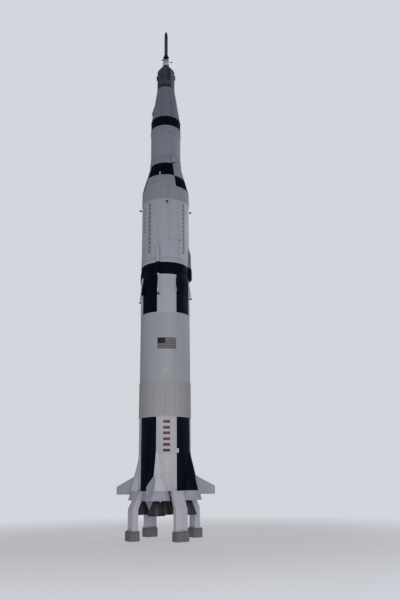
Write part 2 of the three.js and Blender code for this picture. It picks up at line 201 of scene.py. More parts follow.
paints = [
    # name, clean colour, stained, streaked by rain, roughness, specular
    # The stack's light paints, stage_white up to adapter_grey, are darker and bluer higher up the rocket.
    # This is painted shade for light that falls off with height, with a painted blue tint of sky light.
    ("stage_white", (0.51, 0.51, 0.53), (0.453, 0.448, 0.453), (0.391, 0.391, 0.405), 0.55, 0.4),
    ("fuel_white", (0.46, 0.46, 0.477), (0.41, 0.405, 0.41), (0.353, 0.353, 0.365), 0.55, 0.4),
    ("fairing_white", (0.60, 0.61, 0.66), (0.55, 0.55, 0.57), (0.48, 0.48, 0.51), 0.55, 0.4),
    ("warm_white", (0.42, 0.42, 0.44), (0.375, 0.37, 0.38), (0.32, 0.315, 0.325), 0.6, 0.35),
    ("warm_shade", (0.25, 0.25, 0.265), (0.225, 0.222, 0.23), (0.195, 0.192, 0.198), 0.6, 0.3),
    ("tank_white", (0.345, 0.36, 0.395), (0.31, 0.32, 0.345), (0.265, 0.27, 0.295), 0.55, 0.4),
    ("skirt_white", (0.43, 0.445, 0.485), (0.39, 0.395, 0.42), (0.335, 0.335, 0.36), 0.55, 0.4),
    ("second_white", (0.405, 0.425, 0.48), (0.365, 0.38, 0.42), (0.31, 0.32, 0.355), 0.55, 0.4),
    ("forward_white", (0.315, 0.325, 0.37), (0.285, 0.29, 0.325), (0.24, 0.245, 0.275), 0.55, 0.4),
    ("cone_white", (0.365, 0.375, 0.44), (0.33, 0.335, 0.385), (0.28, 0.285, 0.325), 0.55, 0.35),
    ("third_white", (0.295, 0.307, 0.365), (0.265, 0.275, 0.32), (0.23, 0.235, 0.275), 0.55, 0.35),
    ("adapter_grey", (0.215, 0.22, 0.275), (0.19, 0.193, 0.235), (0.165, 0.168, 0.205), 0.55, 0.3),
    ("black", (0.0010, 0.0020, 0.0085), (0.003, 0.0045, 0.010), (0.010, 0.012, 0.020), 0.5, 0.08),
    ("fin_white", (0.385, 0.393, 0.425), (0.353, 0.353, 0.371), (0.303, 0.303, 0.316), 0.55, 0.4),
    ("leg_white", (0.55, 0.55, 0.62), (0.495, 0.495, 0.54), (0.42, 0.42, 0.467), 0.55, 0.4),
    # A darker, bluer copy of fairing_white for the fairings' lower lip: painted shade with a painted blue
    # tint of sky light.
    ("rim_white", (0.39, 0.42, 0.50), (0.35, 0.37, 0.43), (0.30, 0.315, 0.36), 0.55, 0.4),
    # A dark grey used as painted shade on the side feed fairings' flanks and as painted shadow under joint
    # rings; also one dark line between two bands.
    ("wedge_side", (0.15, 0.15, 0.18), (0.16, 0.16, 0.18), (0.18, 0.18, 0.20), 0.55, 0.3),
    ("seam_grey", (0.36, 0.365, 0.38), (0.32, 0.32, 0.33), (0.26, 0.26, 0.275), 0.6, 0.3),
    ("line_dark", (0.17, 0.175, 0.21), (0.16, 0.16, 0.19), (0.20, 0.20, 0.23), 0.6, 0.3),
    ("touch_up", (0.40, 0.425, 0.425), (0.38, 0.40, 0.40), (0.34, 0.35, 0.36), 0.6, 0.3),
    ("box_white", (0.70, 0.71, 0.73), (0.62, 0.62, 0.62), (0.52, 0.52, 0.53), 0.5, 0.4),
    ("dark_fitting", (0.045, 0.05, 0.06), (0.06, 0.06, 0.065), (0.085, 0.085, 0.09), 0.5, 0.3),
    ("mark_red", (0.085, 0.010, 0.020), (0.10, 0.020, 0.028), (0.13, 0.05, 0.055), 0.5, 0.3),
    ("dash_brown", (0.18, 0.155, 0.18), (0.17, 0.148, 0.168), (0.25, 0.225, 0.242), 0.55, 0.3),
    ("dash_grey", (0.18, 0.18, 0.215), (0.17, 0.17, 0.195), (0.24, 0.24, 0.265), 0.55, 0.3),
    ("stripe_red", (0.112, 0.069, 0.081), (0.12, 0.085, 0.095), (0.145, 0.118, 0.13), 0.5, 0.3),
    ("stripe_pale", (0.18, 0.186, 0.207), (0.163, 0.169, 0.187), (0.14, 0.148, 0.162), 0.5, 0.3),
    ("field_blue", (0.0085, 0.010, 0.0165), (0.015, 0.016, 0.024), (0.03, 0.031, 0.04), 0.5, 0.2),
    ("module", (0.054, 0.055, 0.088), (0.068, 0.068, 0.092), (0.086, 0.086, 0.11), 0.45, 0.35),
    ("module_dim", (0.036, 0.037, 0.058), (0.05, 0.05, 0.068), (0.065, 0.066, 0.082), 0.45, 0.3),
    ("module_deep", (0.023, 0.024, 0.042), (0.04, 0.04, 0.055), (0.055, 0.056, 0.07), 0.45, 0.3),
    ("module_light", (0.125, 0.132, 0.18), (0.105, 0.11, 0.145), (0.155, 0.158, 0.20), 0.42, 0.4),
    ("module_mid", (0.080, 0.083, 0.115), (0.07, 0.071, 0.095), (0.10, 0.10, 0.13), 0.45, 0.35),
    ("module_brown", (0.072, 0.070, 0.085), (0.088, 0.080, 0.085), (0.058, 0.056, 0.066), 0.5, 0.3),
    ("cover_dark", (0.075, 0.078, 0.105), (0.065, 0.066, 0.085), (0.10, 0.102, 0.125), 0.5, 0.3),
    ("motor_grey", (0.066, 0.067, 0.10), (0.055, 0.055, 0.08), (0.082, 0.082, 0.11), 0.45, 0.35),
    ("nose_dark", (0.035, 0.035, 0.042), (0.045, 0.045, 0.05), (0.06, 0.06, 0.065), 0.45, 0.3),
    ("pane", (0.012, 0.014, 0.020), (0.018, 0.019, 0.024), (0.035, 0.036, 0.040), 0.22, 0.5),
    ("tower_pale", (0.42, 0.42, 0.44), (0.32, 0.32, 0.33), (0.22, 0.22, 0.24), 0.45, 0.4),
]

speckled = [
    # name, base colour, roughness, metallic, coat, noise scale, detail, range of it, clean colour, speckled
    (
        "lamp_dark", (0.03, 0.036, 0.046), 0.45, 0.2, 0.0, 90, 3, 0.45, 0.7,
        (0.03, 0.036, 0.046), (0.05, 0.054, 0.062),
    ),
    (
        "lamp_glass", (0.022, 0.009, 0.010), 0.2, 0.0, 0.3, 60, 3, 0.4, 0.7,
        (0.024, 0.008, 0.009), (0.02, 0.017, 0.019),
    ),
    (
        "steel", (0.3, 0.3, 0.31), 0.45, 0.8, 0.0, 130, 2, 0.35, 0.65,
        (0.25, 0.25, 0.26), (0.38, 0.38, 0.39),
    ),
]


def speckled_finish(name, base, roughness, metallic, coat, scale, detail, low_in, high_in, clean, spots):
    """Worn lamp housings, grimy dark glass with a trace of red, and galvanised bolts and plates."""
    material, surface = shader(name, base, roughness, metallic=metallic, coat=coat)
    wear = ranged(material, noise(material, scale, detail=detail), low_in, high_in, 0, 1)
    fed(surface, "Base Color", mixed(material, wear, clean, spots))


def engine_metal():
    """Dull dark metal, with heat tint in hoops down the bell."""
    material, surface = shader("engine", (0.055, 0.057, 0.066), 0.42, metallic=0.6)
    hoops = ranged(material, noise(material, 9, (0.3, 0.3, 4), 3), 0.35, 0.7, 0, 1)
    soot = ranged(material, noise(material, 22, (1, 1, 0.3), 4), 0.42, 0.75, 0, 0.8)
    colour = mixed(material, hoops, (0.055, 0.057, 0.066), (0.092, 0.088, 0.09))
    fed(surface, "Base Color", mixed(material, soot, colour, (0.028, 0.028, 0.031)))
    rough = ranged(material, noise(material, 40, detail=3), 0.3, 0.7, 0.32, 0.55)
    fed(surface, "Roughness", rough)


def cast_concrete():
    """Pale cast concrete, with pores, board marks and rain stains."""
    material, surface = shader("concrete", (0.4, 0.38, 0.42), 0.88, specular=0.3)
    broad = ranged(material, noise(material, 5, detail=5), 0.3, 0.72, 0, 1)
    stain = ranged(material, noise(material, 20, (1, 1, 0.12), 4), 0.5, 0.8, 0, 0.7)
    grit = ranged(material, noise(material, 320, detail=2), 0.35, 0.65, 0, 0.35)
    colour = mixed(material, broad, (0.19, 0.185, 0.204), (0.156, 0.15, 0.164))
    colour = mixed(material, stain, colour, (0.094, 0.09, 0.098))
    fed(surface, "Base Color", mixed(material, grit, colour, (0.245, 0.237, 0.253)))
    bumped(material, surface, noise(material, 150, detail=5, roughness=0.7), 0.4, 0.002)


for row in paints:
    weathered_paint(*row)
for row in speckled:
    speckled_finish(*row)
engine_metal()
cast_concrete()


# Meshes

def linked(name, mesh):
    piece = bpy.data.objects.new(name, mesh)
    bpy.context.scene.collection.objects.link(piece)
    return piece


def shaped(name, points, faces=(), edges=()):
    """A new object from points and faces, or from points and edges."""
    mesh = bpy.data.meshes.new(name)
    mesh.from_pydata([tuple(point) for point in points], list(edges), list(faces))
    return linked(name, mesh)


def smoothed(piece, angle=SMOOTH_ANGLE):
    piece.data.shade_smooth()
    piece.data.set_sharp_from_angle(angle=angle)
    return piece


def turned(name, rows, facets=FACETS, closed=False):
    """A turned mesh about Z from rows of (radius, height), going up the outside.

    closed joins the last row to the first, for a wall with an inside. Otherwise radius 0 at both ends
    closes it with a pole.
    """
    points, starts = [], []
    for radius, height in rows:
        starts.append(len(points))
        if radius == 0:
            points.append((0, 0, height))
            continue
        for step in range(facets):
            points.append(spot(360 * step / facets, radius, height))
    faces = []
    pairs = [(row, row + 1) for row in range(len(rows) - 1)]
    if closed:
        pairs.append((len(rows) - 1, 0))
    for lower, upper in pairs:
        for step in range(facets):
            after = (step + 1) % facets
            ring = [starts[lower] + step, starts[lower] + after]
            ring += [starts[upper] + after, starts[upper] + step]
            if rows[lower][0] == 0:
                ring = [starts[lower], ring[2], ring[3]]
            elif rows[upper][0] == 0:
                ring = [ring[0], ring[1], starts[upper]]
            faces.append(ring)
    return smoothed(shaped(name, points, faces))


def lofted(name, sections):
    """A closed skin over sections that have the same number of points, with flat ends."""
    count = len(sections[0])
    points = [point for section in sections for point in section]
    last = len(points) - count
    faces = []
    for start in range(0, last, count):
        for corner in range(count):
            after = (corner + 1) % count
            faces.append((start + corner, start + after, start + after + count, start + corner + count))
    faces += [tuple(range(count - 1, -1, -1)), tuple(range(last, last + count))]
    piece = shaped(name, points, faces)
    shape = bmesh.new()
    shape.from_mesh(piece.data)
    bmesh.ops.recalc_face_normals(shape, faces=shape.faces)
    shape.to_mesh(piece.data)
    shape.free()
    return piece


def slab(azimuth, inner, outer, half, height):
    """The four corners at one height of a block that stands out from the axis at an azimuth."""
    corners = ((outer, -half), (outer, half), (inner, half), (inner, -half))
    return [beside(azimuth, out, across, height) for out, across in corners]


def between(rows, height):
    """The values at a height between the rows of a table of heights and values, going up."""
    for (below, *first), (above, *second) in zip(rows, rows[1:]):
        if below <= height <= above:
            return [a + (b - a) * (height - below) / (above - below) for a, b in zip(first, second)]
    return rows[-1][1:]


def skin_rows(bottom, top, lower, upper, bands=(), marks=()):
    """Rows of a section's skin, for turned.

    bands are (lower height, upper height, how far out), and marks are heights where the paint changes.
    """

    def at(height):
        return lower + (upper - lower) * (height - bottom) / (top - bottom)

    rows = [(at(height), height) for height in (bottom, top, *marks)]
    for band_low, band_high, out in bands:
        slope = min(BEAD, abs(out))
        rows += [
            (at(band_low), band_low),
            (at(band_low) + out, band_low + slope),
            (at(band_high) + out, band_high - slope),
            (at(band_high), band_high),
        ]
    return sorted(rows, key=lambda row: row[1])  # by height


def evaluated(piece):
    """Applies the piece's modifiers to its mesh."""
    bpy.context.view_layer.update()
    whole = bpy.data.meshes.new_from_object(piece.evaluated_get(bpy.context.evaluated_depsgraph_get()))
    piece.modifiers.clear()
    piece.data = whole
    return piece


def removed(piece):
    bpy.data.objects.remove(piece)


def joined(name, pieces):
    """Several objects as one piece with that name."""
    first, *others = pieces
    if others:
        with bpy.context.temp_override(active_object=first, selected_editable_objects=pieces):
            bpy.ops.object.join()
    first.name = name
    return first


def copied(name, piece, turn=0.0, shift=(0, 0, 0)):
    """A copy of an object, moved and then turned about the rocket's axis by an angle in degrees."""
    copy = linked(name, piece.data.copy())
    copy.data.transform(Matrix.Rotation(math.radians(turn), 4, "Z") @ Matrix.Translation(shift))
    return copy


def node_copy(name, node):
    """A CAD node's shape as a new object, with its doubled points merged and its flat faces whole."""
    copy = linked(name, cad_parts[node].data.copy())
    copy.data.materials.clear()
    shape = bmesh.new()
    shape.from_mesh(copy.data)
    bmesh.ops.remove_doubles(shape, verts=shape.verts, dist=1e-6)
    bmesh.ops.dissolve_limit(shape, angle_limit=math.radians(0.4), verts=shape.verts, edges=shape.edges)
    shape.to_mesh(copy.data)
    shape.free()
    return copy


def rounded(piece, width, segments=3):
    """Rounds the piece's sharp edges."""
    bevel = piece.modifiers.new("round", "BEVEL")
    bevel.width = width
    bevel.segments = segments
    bevel.limit_method = "ANGLE"
    bevel.angle_limit = math.radians(30)
    bevel.harden_normals = False
    return smoothed(evaluated(piece), math.radians(50))


def carved(piece, cutter):
    """Cuts one closed mesh by another, which is then deleted."""
    boolean = piece.modifiers.new("cut", "BOOLEAN")
    boolean.object = cutter
    boolean.operation = "DIFFERENCE"
    boolean.solver = "EXACT"
    evaluated(piece)
    removed(cutter)
    return smoothed(piece)


def along(start, end):
    """The matrix that takes the Z axis from the origin to the line from start towards end."""
    direction = (Vector(end) - Vector(start)).normalized()
    return Matrix.Translation(start) @ Vector((0, 0, 1)).rotation_difference(direction).to_matrix().to_4x4()


def finished(piece, finish):
    """Gives the whole piece one finish."""
    piece.data.materials.clear()
    piece.data.materials.append(materials[finish])
    for face in piece.data.polygons:
        face.material_index = 0
    return piece


def block(name, sections, width, finish, segments=2):
    """A block over sections, with rounded edges of a width."""
    return finished(rounded(lofted(name, sections), width, segments), finish)


def repainted(piece, finish, is_there):
    """Gives a finish to the faces that pass a test."""
    slots = piece.data.materials
    if slots.find(finish) < 0:
        slots.append(materials[finish])
    for face in piece.data.polygons:
        if is_there(face):
            face.material_index = slots.find(finish)
    return piece


# Geometry trees for what repeats

def tree(name, inputs):
    """A geometry tree with named inputs, given as (name, kind of socket, default)."""
    group = bpy.data.node_groups.new(name, "GeometryNodeTree")
    group.interface.new_socket("Geometry", in_out="INPUT", socket_type="NodeSocketGeometry")
    for label, kind, value in inputs:
        socket = group.interface.new_socket(label, in_out="INPUT", socket_type="NodeSocket" + kind)
        if value is not None:
            socket.default_value = value
    group.interface.new_socket("Geometry", in_out="OUTPUT", socket_type="NodeSocketGeometry")
    given = group.nodes.new("NodeGroupInput")
    return group, given.outputs


def node(group, kind, inputs=None, **settings):
    """A node with its settings. Its inputs, by name or number, are values or other nodes' outputs."""
    made = group.nodes.new(kind)
    for key, value in settings.items():
        setattr(made, key, value)
    for key, value in (inputs or {}).items():
        socket = made.inputs[key]
        if isinstance(value, bpy.types.NodeSocket):
            group.links.new(value, socket)
        else:
            socket.default_value = value
    return made.outputs[0]


def sums(group, operation, first, second=0.0):
    """A sum or another operation on one or two values."""
    return node(group, "ShaderNodeMath", {0: first, 1: second}, operation=operation)


def vector(group, x=0.0, y=0.0, z=0.0):
    return node(group, "ShaderNodeCombineXYZ", {"X": x, "Y": y, "Z": z})


def end_of(group, geometry, material):
    """Realizes the instances, sets the material and ends the tree."""
    real = node(group, "GeometryNodeRealizeInstances", {"Geometry": geometry})
    painted = node(group, "GeometryNodeSetMaterial", {"Geometry": real, "Material": material})
    last = group.nodes.new("NodeGroupOutput")
    group.links.new(painted, last.inputs[0])
    return group


def ring_points(group, count, turn, radius, height):
    """Points evenly round the axis, and the angle of each."""
    points = node(group, "GeometryNodePoints", {"Count": count})
    index = node(group, "GeometryNodeInputIndex")
    share = sums(group, "DIVIDE", index, count)
    angle = sums(group, "ADD", sums(group, "MULTIPLY", share, math.tau), turn)
    x = sums(group, "MULTIPLY", sums(group, "SINE", angle), radius)
    y = sums(group, "MULTIPLY", sums(group, "COSINE", angle), sums(group, "MULTIPLY", radius, -1.0))
    place = vector(group, x, y, height)
    return node(group, "GeometryNodeSetPosition", {"Geometry": points, "Position": place}), angle


def repeated(group, given, points, piece, rotation):
    """Ends the tree with the piece at every point."""
    copies = node(group, "GeometryNodeInstanceOnPoints", {
        "Points": points, "Instance": piece, "Rotation": rotation,
    })
    return end_of(group, copies, given["Material"])


def hexagon_head(group, given, taper):
    """A six-sided bolt head that narrows to a share of its width."""
    return node(group, "GeometryNodeMeshCone", {
        "Vertices": 6, "Side Segments": 1,
        "Radius Top": sums(group, "MULTIPLY", given["Head radius"], taper),
        "Radius Bottom": given["Head radius"], "Depth": given["Head height"],
    })


def tube_along(group, given):
    """Round tubes with closed ends along the given wire."""
    line = node(group, "GeometryNodeMeshToCurve", {"Mesh": given["Geometry"]})
    ring = node(group, "GeometryNodeCurvePrimitiveCircle", {
        "Resolution": given["Sides"], "Radius": given["Radius"],
    })
    return node(group, "GeometryNodeCurveToMesh", {
        "Curve": line, "Profile Curve": ring, "Fill Caps": True,
    })


def rib_tree():
    """Upright ribs round a straight or tapered section, each with a narrow outer face and sloped ends."""
    group, given = tree("ribs", [
        ("Count", "Int", 60), ("Turn", "Float", 0.0), ("Lower radius", "Float", 0.5),
        ("Upper radius", "Float", 0.5), ("Bottom", "Float", 0.0), ("Top", "Float", 1.0),
        ("Width", "Float", 0.01), ("Depth", "Float", 0.004), ("Nose", "Float", 0.6), ("Sink", "Float", 0.001),
        ("Material", "Material", None),
    ])
    points, angle = ring_points(group, given["Count"], given["Turn"], given["Lower radius"], given["Bottom"])
    inwards = sums(group, "SUBTRACT", given["Lower radius"], given["Upper radius"])
    rise = sums(group, "SUBTRACT", given["Top"], given["Bottom"])
    lean = sums(group, "MULTIPLY", sums(group, "ARCTAN2", inwards, rise), -1.0)
    inwards_square = sums(group, "MULTIPLY", inwards, inwards)
    length = sums(group, "SQRT", sums(group, "ADD", sums(group, "MULTIPLY", rise, rise), inwards_square))
    thick = sums(group, "ADD", given["Depth"], given["Sink"])
    bar = node(group, "GeometryNodeMeshCube", {"Size": vector(group, given["Width"], thick, length)})
    place = group.nodes.new("ShaderNodeSeparateXYZ")
    group.links.new(node(group, "GeometryNodeInputPosition"), place.inputs[0])
    is_outer = sums(group, "LESS_THAN", place.outputs["Y"], 0.0)
    shorter = sums(group, "SUBTRACT", 1.0, sums(group, "DIVIDE", sums(group, "MULTIPLY", thick, 3.0), length))
    nose = vector(
        group,
        sums(group, "MULTIPLY", place.outputs["X"], given["Nose"]),
        place.outputs["Y"],
        sums(group, "MULTIPLY", place.outputs["Z"], shorter),
    )
    narrowed = node(group, "GeometryNodeSetPosition", {
        "Geometry": bar, "Selection": is_outer, "Position": nose,
    })
    outwards = sums(group, "SUBTRACT", given["Sink"], sums(group, "MULTIPLY", thick, 0.5))
    raised = node(group, "GeometryNodeTransform", {
        "Geometry": narrowed,
        "Translation": vector(group, 0.0, outwards, sums(group, "MULTIPLY", length, 0.5)),
    })
    return repeated(group, given, points, raised, vector(group, lean, 0.0, angle))


def bolt_tree():
    """Hexagonal bolt heads round a ring, standing out from it."""
    group, given = tree("bolts", [
        ("Count", "Int", 60), ("Turn", "Float", 0.0), ("Radius", "Float", 0.5), ("Height", "Float", 0.0),
        ("Head radius", "Float", 0.004), ("Head height", "Float", 0.002), ("Material", "Material", None),
    ])
    points, angle = ring_points(group, given["Count"], given["Turn"], given["Radius"], given["Height"])
    outwards = vector(group, math.pi / 2, 0.0, angle)
    return repeated(group, given, points, hexagon_head(group, given, 0.8), outwards)


def tube_tree():
    """Round tubes along the edges of the given wire."""
    group, given = tree("tubes", [
        ("Radius", "Float", 0.005), ("Sides", "Int", 10), ("Material", "Material", None),
    ])
    return end_of(group, tube_along(group, given), given["Material"])


def wall_tube_tree():
    """Thin cooling tubes side by side round a bell, each following the given line down its outside."""
    group, given = tree("wall tubes", [
        ("Count", "Int", 40), ("Radius", "Float", 0.003), ("Sides", "Int", 5), ("Material", "Material", None),
    ])
    points, angle = ring_points(group, given["Count"], 0.0, 0.0, 0.0)
    return repeated(group, given, points, tube_along(group, given), vector(group, 0.0, 0.0, angle))


def row_tree():
    """Bolt heads in a straight row between two points, standing out along a given direction."""
    group, given = tree("bolt row", [
        ("Count", "Int", 4), ("From", "Vector", (0, 0, 0)), ("To", "Vector", (1, 0, 0)),
        ("Facing", "Rotation", None), ("Head radius", "Float", 0.006), ("Head height", "Float", 0.005),
        ("Material", "Material", None),
    ])
    line = node(group, "GeometryNodeCurvePrimitiveLine", {"Start": given["From"], "End": given["To"]})
    points = node(group, "GeometryNodeCurveToPoints", {"Curve": line, "Count": given["Count"]})
    return repeated(group, given, points, hexagon_head(group, given, 0.85), given["Facing"])


RIBS = rib_tree()
BOLTS = bolt_tree()
TUBES = tube_tree()
WALL_TUBES = wall_tube_tree()
BOLT_ROW = row_tree()


def grown(name, group, finish, wire=None, **inputs):
    """Runs a geometry tree with the given inputs and leaves its result as a plain mesh."""
    piece = wire or shaped(name, [])
    growth = piece.modifiers.new("growth", "NODES")
    growth.node_group = group
    sockets = {item.name: item.identifier for item in group.interface.items_tree if item.in_out == "INPUT"}
    growth[sockets["Material"]] = materials[finish]
    for label, value in inputs.items():
        growth[sockets[label.replace("_", " ")]] = value
    piece.name = name
    return evaluated(piece)


def tubes(name, finish, points, edges, radius, sides=10):
    wire = shaped(name, points, edges=edges)
    return smoothed(grown(name, TUBES, finish, wire, Radius=radius, Sides=sides))


def rib_ring(name, finish, count, radii, heights, width, depth, half_step=True, **more):
    """Upright ribs all round. radii and heights are at their lower and upper ends."""
    return grown(
        name, RIBS, finish, Count=count, Turn=math.pi / count if half_step else 0.0, Lower_radius=radii[0],
        Upper_radius=radii[1], Bottom=heights[0], Top=heights[1], Width=width, Depth=depth, **more,
    )


def bolt_ring(name, finish, count, radius, height, head_radius, head_height, half_step=False):
    """Bolt heads all round."""
    return grown(
        name, BOLTS, finish, Count=count, Turn=math.pi / count if half_step else 0.0, Radius=radius,
        Height=height, Head_radius=head_radius, Head_height=head_height,
    )


def bolt_row(name, finish, start, end, facing, count, radius, height):
    """A straight row of bolt heads that stand out towards a direction."""
    turn = Vector((0, 0, 1)).rotation_difference(Vector(facing)).to_euler()
    return grown(
        name, BOLT_ROW, finish, Count=count, From=tuple(start), To=tuple(end), Facing=tuple(turn),
        Head_radius=radius, Head_height=height,
    )


# Paint by place: black and white on the stack and on what stands round it

SECTOR = 45  # degrees of one upright black or white panel
paint_bands = [
    # bottom, top, rule
    (0.860, 2.200, "panels"),
    (4.260, 5.055, "panels"),
    (5.055, 5.315, "black"),
    (7.060, 7.350, "lower checks"),
    (7.350, 7.690, "upper checks"),
    (8.637, 8.877, "black"),
]
PAINT_MARKS = sorted({height for bottom, top, _ in paint_bands for height in (bottom, top)})


def is_black(azimuth, height):
    """Whether the paint is black at a place on the stack."""
    for bottom, top, rule in paint_bands:
        if bottom < height < top:
            if rule == "panels":
                return int(azimuth // SECTOR) % 2 == 1
            quarter = int((azimuth + SECTOR) // (2 * SECTOR)) % 2
            return rule == "black" or quarter == (0 if rule == "upper checks" else 1)
    return False


def split_at_paint(piece, shift=0.0):
    """Cuts the faces where the paint changes: on upright planes through the axis and at the bands."""
    shape = bmesh.new()
    shape.from_mesh(piece.data)
    heights = [point.co.z for point in shape.verts]
    planes = [((0, 0, mark), (0, 0, 1)) for mark in PAINT_MARKS if min(heights) < mark < max(heights)]
    planes += [((0, 0, 0), spot(azimuth + shift, 1, 0)) for azimuth in range(0, 180, SECTOR)]
    for point, normal in planes:
        everything = shape.verts[:] + shape.edges[:] + shape.faces[:]
        bmesh.ops.bisect_plane(shape, geom=everything, dist=1e-6, plane_co=point, plane_no=normal)
    shape.to_mesh(piece.data)
    shape.free()


def painted_by(piece, finishes, finish_at, shift=0.0):
    """Gives each face the finish that a rule names for its azimuth and height."""
    piece.data.materials.clear()
    for finish in finishes:
        piece.data.materials.append(materials[finish])
    for face in piece.data.polygons:
        x, y, z = face.center
        azimuth = (math.degrees(math.atan2(x, -y)) - shift) % 360
        face.material_index = finishes.index(finish_at(azimuth, z))
    return piece


def painted(piece, light, split=False, shift=0.0):
    """Paints a piece black or white by place. shift turns the paint's upright edges, in degrees."""
    if split:
        split_at_paint(piece, shift)

    def paint_at(azimuth, height):
        return "black" if is_black(azimuth, height) else light

    return painted_by(piece, [light, "black"], paint_at, shift)


def kept(piece, *nodes):
    """The piece stands for these CAD nodes, which it hides, and rides on the rocket."""
    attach(piece, "root")
    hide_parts(*nodes)


# Sections of the stack

SKIRT_LOW_R = 0.338  # the third stage's aft skirt, where it stands on the cone
SKIRT_TOP_R = 0.332
RING = (0.003, 0.014)  # a joint ring: how far out, how tall
FLANGE = (0.008, 0.086)  # the same of the third stage's flange
FLANGE_RIBS = (7.708, 7.770)  # lower and upper ends of the ribs on the flange

stack = [
    # node, radius at the lower end, at the upper end, ring or flange at the lower end, light paint, darker
    # higher up as painted shade
    ("thrust_structure", STAGE_R, STAGE_R, RING, "stage_white"),
    ("fuel_tank", STAGE_R, STAGE_R, RING, "fuel_white"),
    ("intertank", STAGE_R, STAGE_R, None, "warm_white"),
    ("oxidizer_tank", STAGE_R, STAGE_R, None, "tank_white"),
    ("first_forward_skirt", STAGE_R, STAGE_R, None, "skirt_white"),
    ("lower_interstage", STAGE_R, STAGE_R, RING, "skirt_white"),
    ("second_aft_skirt", STAGE_R, STAGE_R, RING, "second_white"),
    ("second_tank", STAGE_R, STAGE_R, None, "second_white"),
    ("second_forward_skirt", STAGE_R + 0.004, STAGE_R, RING, "forward_white"),
    ("upper_interstage", STAGE_R, SKIRT_LOW_R, RING, "cone_white"),
    ("third_aft_skirt", SKIRT_LOW_R, SKIRT_TOP_R, FLANGE, "third_white"),
    ("third_tank", UPPER_R, UPPER_R, None, "third_white"),
    ("third_forward_skirt", SKIRT_TOP_R, SKIRT_TOP_R, RING, "third_white"),
    ("instrument_ring", UPPER_R, UPPER_R, RING, "third_white"),
    ("lander_adapter", UPPER_R, SERVICE_R, RING, "adapter_grey"),
    ("service_module", SERVICE_R, SERVICE_R, RING, "module"),
]

raised_bands = {
    # node: rows of lower height, upper height, how far out
    "thrust_structure": [(1.180, 1.188, 0.0015)],
    "fuel_tank": [(1.733, 1.739, 0.001), (1.944, 1.950, 0.001), (2.180, 2.194, 0.002)],
    "intertank": [(2.201, 2.217, 0.009), (2.540, 2.550, 0.007), (2.873, 2.889, 0.009)],
    "oxidizer_tank": [
        (2.892, 2.906, 0.003), (3.140, 3.146, 0.001), (3.420, 3.426, 0.001), (3.780, 3.786, 0.001),
        (4.060, 4.066, 0.001),
    ],
    "first_forward_skirt": [(4.252, 4.262, 0.002), (4.592, 4.604, 0.003)],
    "lower_interstage": [(5.024, 5.032, 0.0015), (5.060, 5.074, 0.003)],
    "second_aft_skirt": [(5.200, 5.206, 0.0015), (5.292, 5.310, 0.003)],
    "second_tank": [
        (5.352, 5.364, 0.0025), (5.392, 5.402, 0.0025), (5.837, 5.843, 0.001), (6.180, 6.186, 0.001),
        (6.520, 6.526, 0.001),
    ],
    "second_forward_skirt": [(6.900, 6.908, 0.0015), (7.040, 7.056, 0.003)],
    "upper_interstage": [
        (7.150, 7.154, 0.001), (7.250, 7.254, 0.001), (7.345, 7.355, 0.0015), (7.450, 7.454, 0.001),
        (7.560, 7.564, 0.001), (7.672, 7.688, 0.004),
    ],
    "third_aft_skirt": [(7.876, 7.888, 0.002)],
    "third_tank": [(8.100, 8.106, 0.001), (8.300, 8.306, 0.001)],
    "third_forward_skirt": [(8.575, 8.585, 0.002)],
    "instrument_ring": [(8.836, 8.848, 0.002)],
    "lander_adapter": [(9.085, 9.095, 0.0012), (9.430, 9.434, 0.0008), (9.730, 9.746, 0.003)],
    "service_module": [
        (9.820, 9.828, 0.002), (9.930, 9.940, 0.0025), (10.196, 10.204, 0.0015), (10.228, 10.240, 0.002),
    ],
}

ribbed = {
    # node: count, width, depth
    "thrust_structure": (120, 0.007, 0.0030),
    "first_forward_skirt": (120, 0.007, 0.0030),
    "lower_interstage": (120, 0.007, 0.0035),
    "second_aft_skirt": (120, 0.007, 0.0035),
    "second_forward_skirt": (120, 0.007, 0.0030),
    "upper_interstage": (96, 0.007, 0.0035),
    "third_aft_skirt": (96, 0.006, 0.0030),
    "third_forward_skirt": (96, 0.006, 0.0030),
    "instrument_ring": (24, 0.004, 0.0012),
}
RIB_MARGIN = 0.006  # between a rib's end and the rings above and below it
BOLT_COUNT = 96
BOLT_R = 0.0035
BOLT_H = 0.003

spans = {name: (low(name), high(name), lower, upper) for name, lower, upper, *_ in stack}


def radius_at(height):
    """The radius of the bare skin at a height."""
    for bottom, top, lower, upper in spans.values():
        if bottom <= height <= top + SKIN_GAP:
            return lower + (upper - lower) * (height - bottom) / (top - bottom)
    return 0


def section_skin(name, lower, upper, edge):
    """The closed turned skin of one section, with the ring or flange at its lower end where it has one."""
    bottom, top = low(name), high(name)
    ring_out, ring_height = edge or (0, 0)
    shoulder = bottom + ring_height
    marks = [height for height in PAINT_MARKS if shoulder < height < top]
    rows = skin_rows(bottom, top, lower, upper, raised_bands[name], marks)
    if edge:
        skin = radius_at(shoulder)
        rows = [row for row in rows if row[1] > shoulder]
        rows = [
            (lower + ring_out - BEAD, bottom),
            (lower + ring_out, bottom + BEAD),
            (skin + ring_out, shoulder - BEAD),
            (skin + ring_out - BEAD, shoulder),
            (skin, shoulder),
        ] + rows
    return turned(name + "_skin", [(0, bottom), *rows, (0, top)])


def section_ribs(name, light, edge):
    """Upright ribs between the section's ring and the band at its top."""
    count, width, depth = ribbed[name]
    bottom, top = low(name), high(name)
    bands = raised_bands[name]
    foot = bottom + edge[1] if edge else bottom
    foot = max([foot] + [band[1] for band in bands if band[1] < foot + 0.02])
    head = min([band[0] for band in bands if band[0] > top - 0.06] + [top])
    foot, head = foot + RIB_MARGIN, head - RIB_MARGIN
    radii = radius_at(foot), radius_at(head)
    return rib_ring(name + "_ribs", light, count, radii, (foot, head), width, depth)


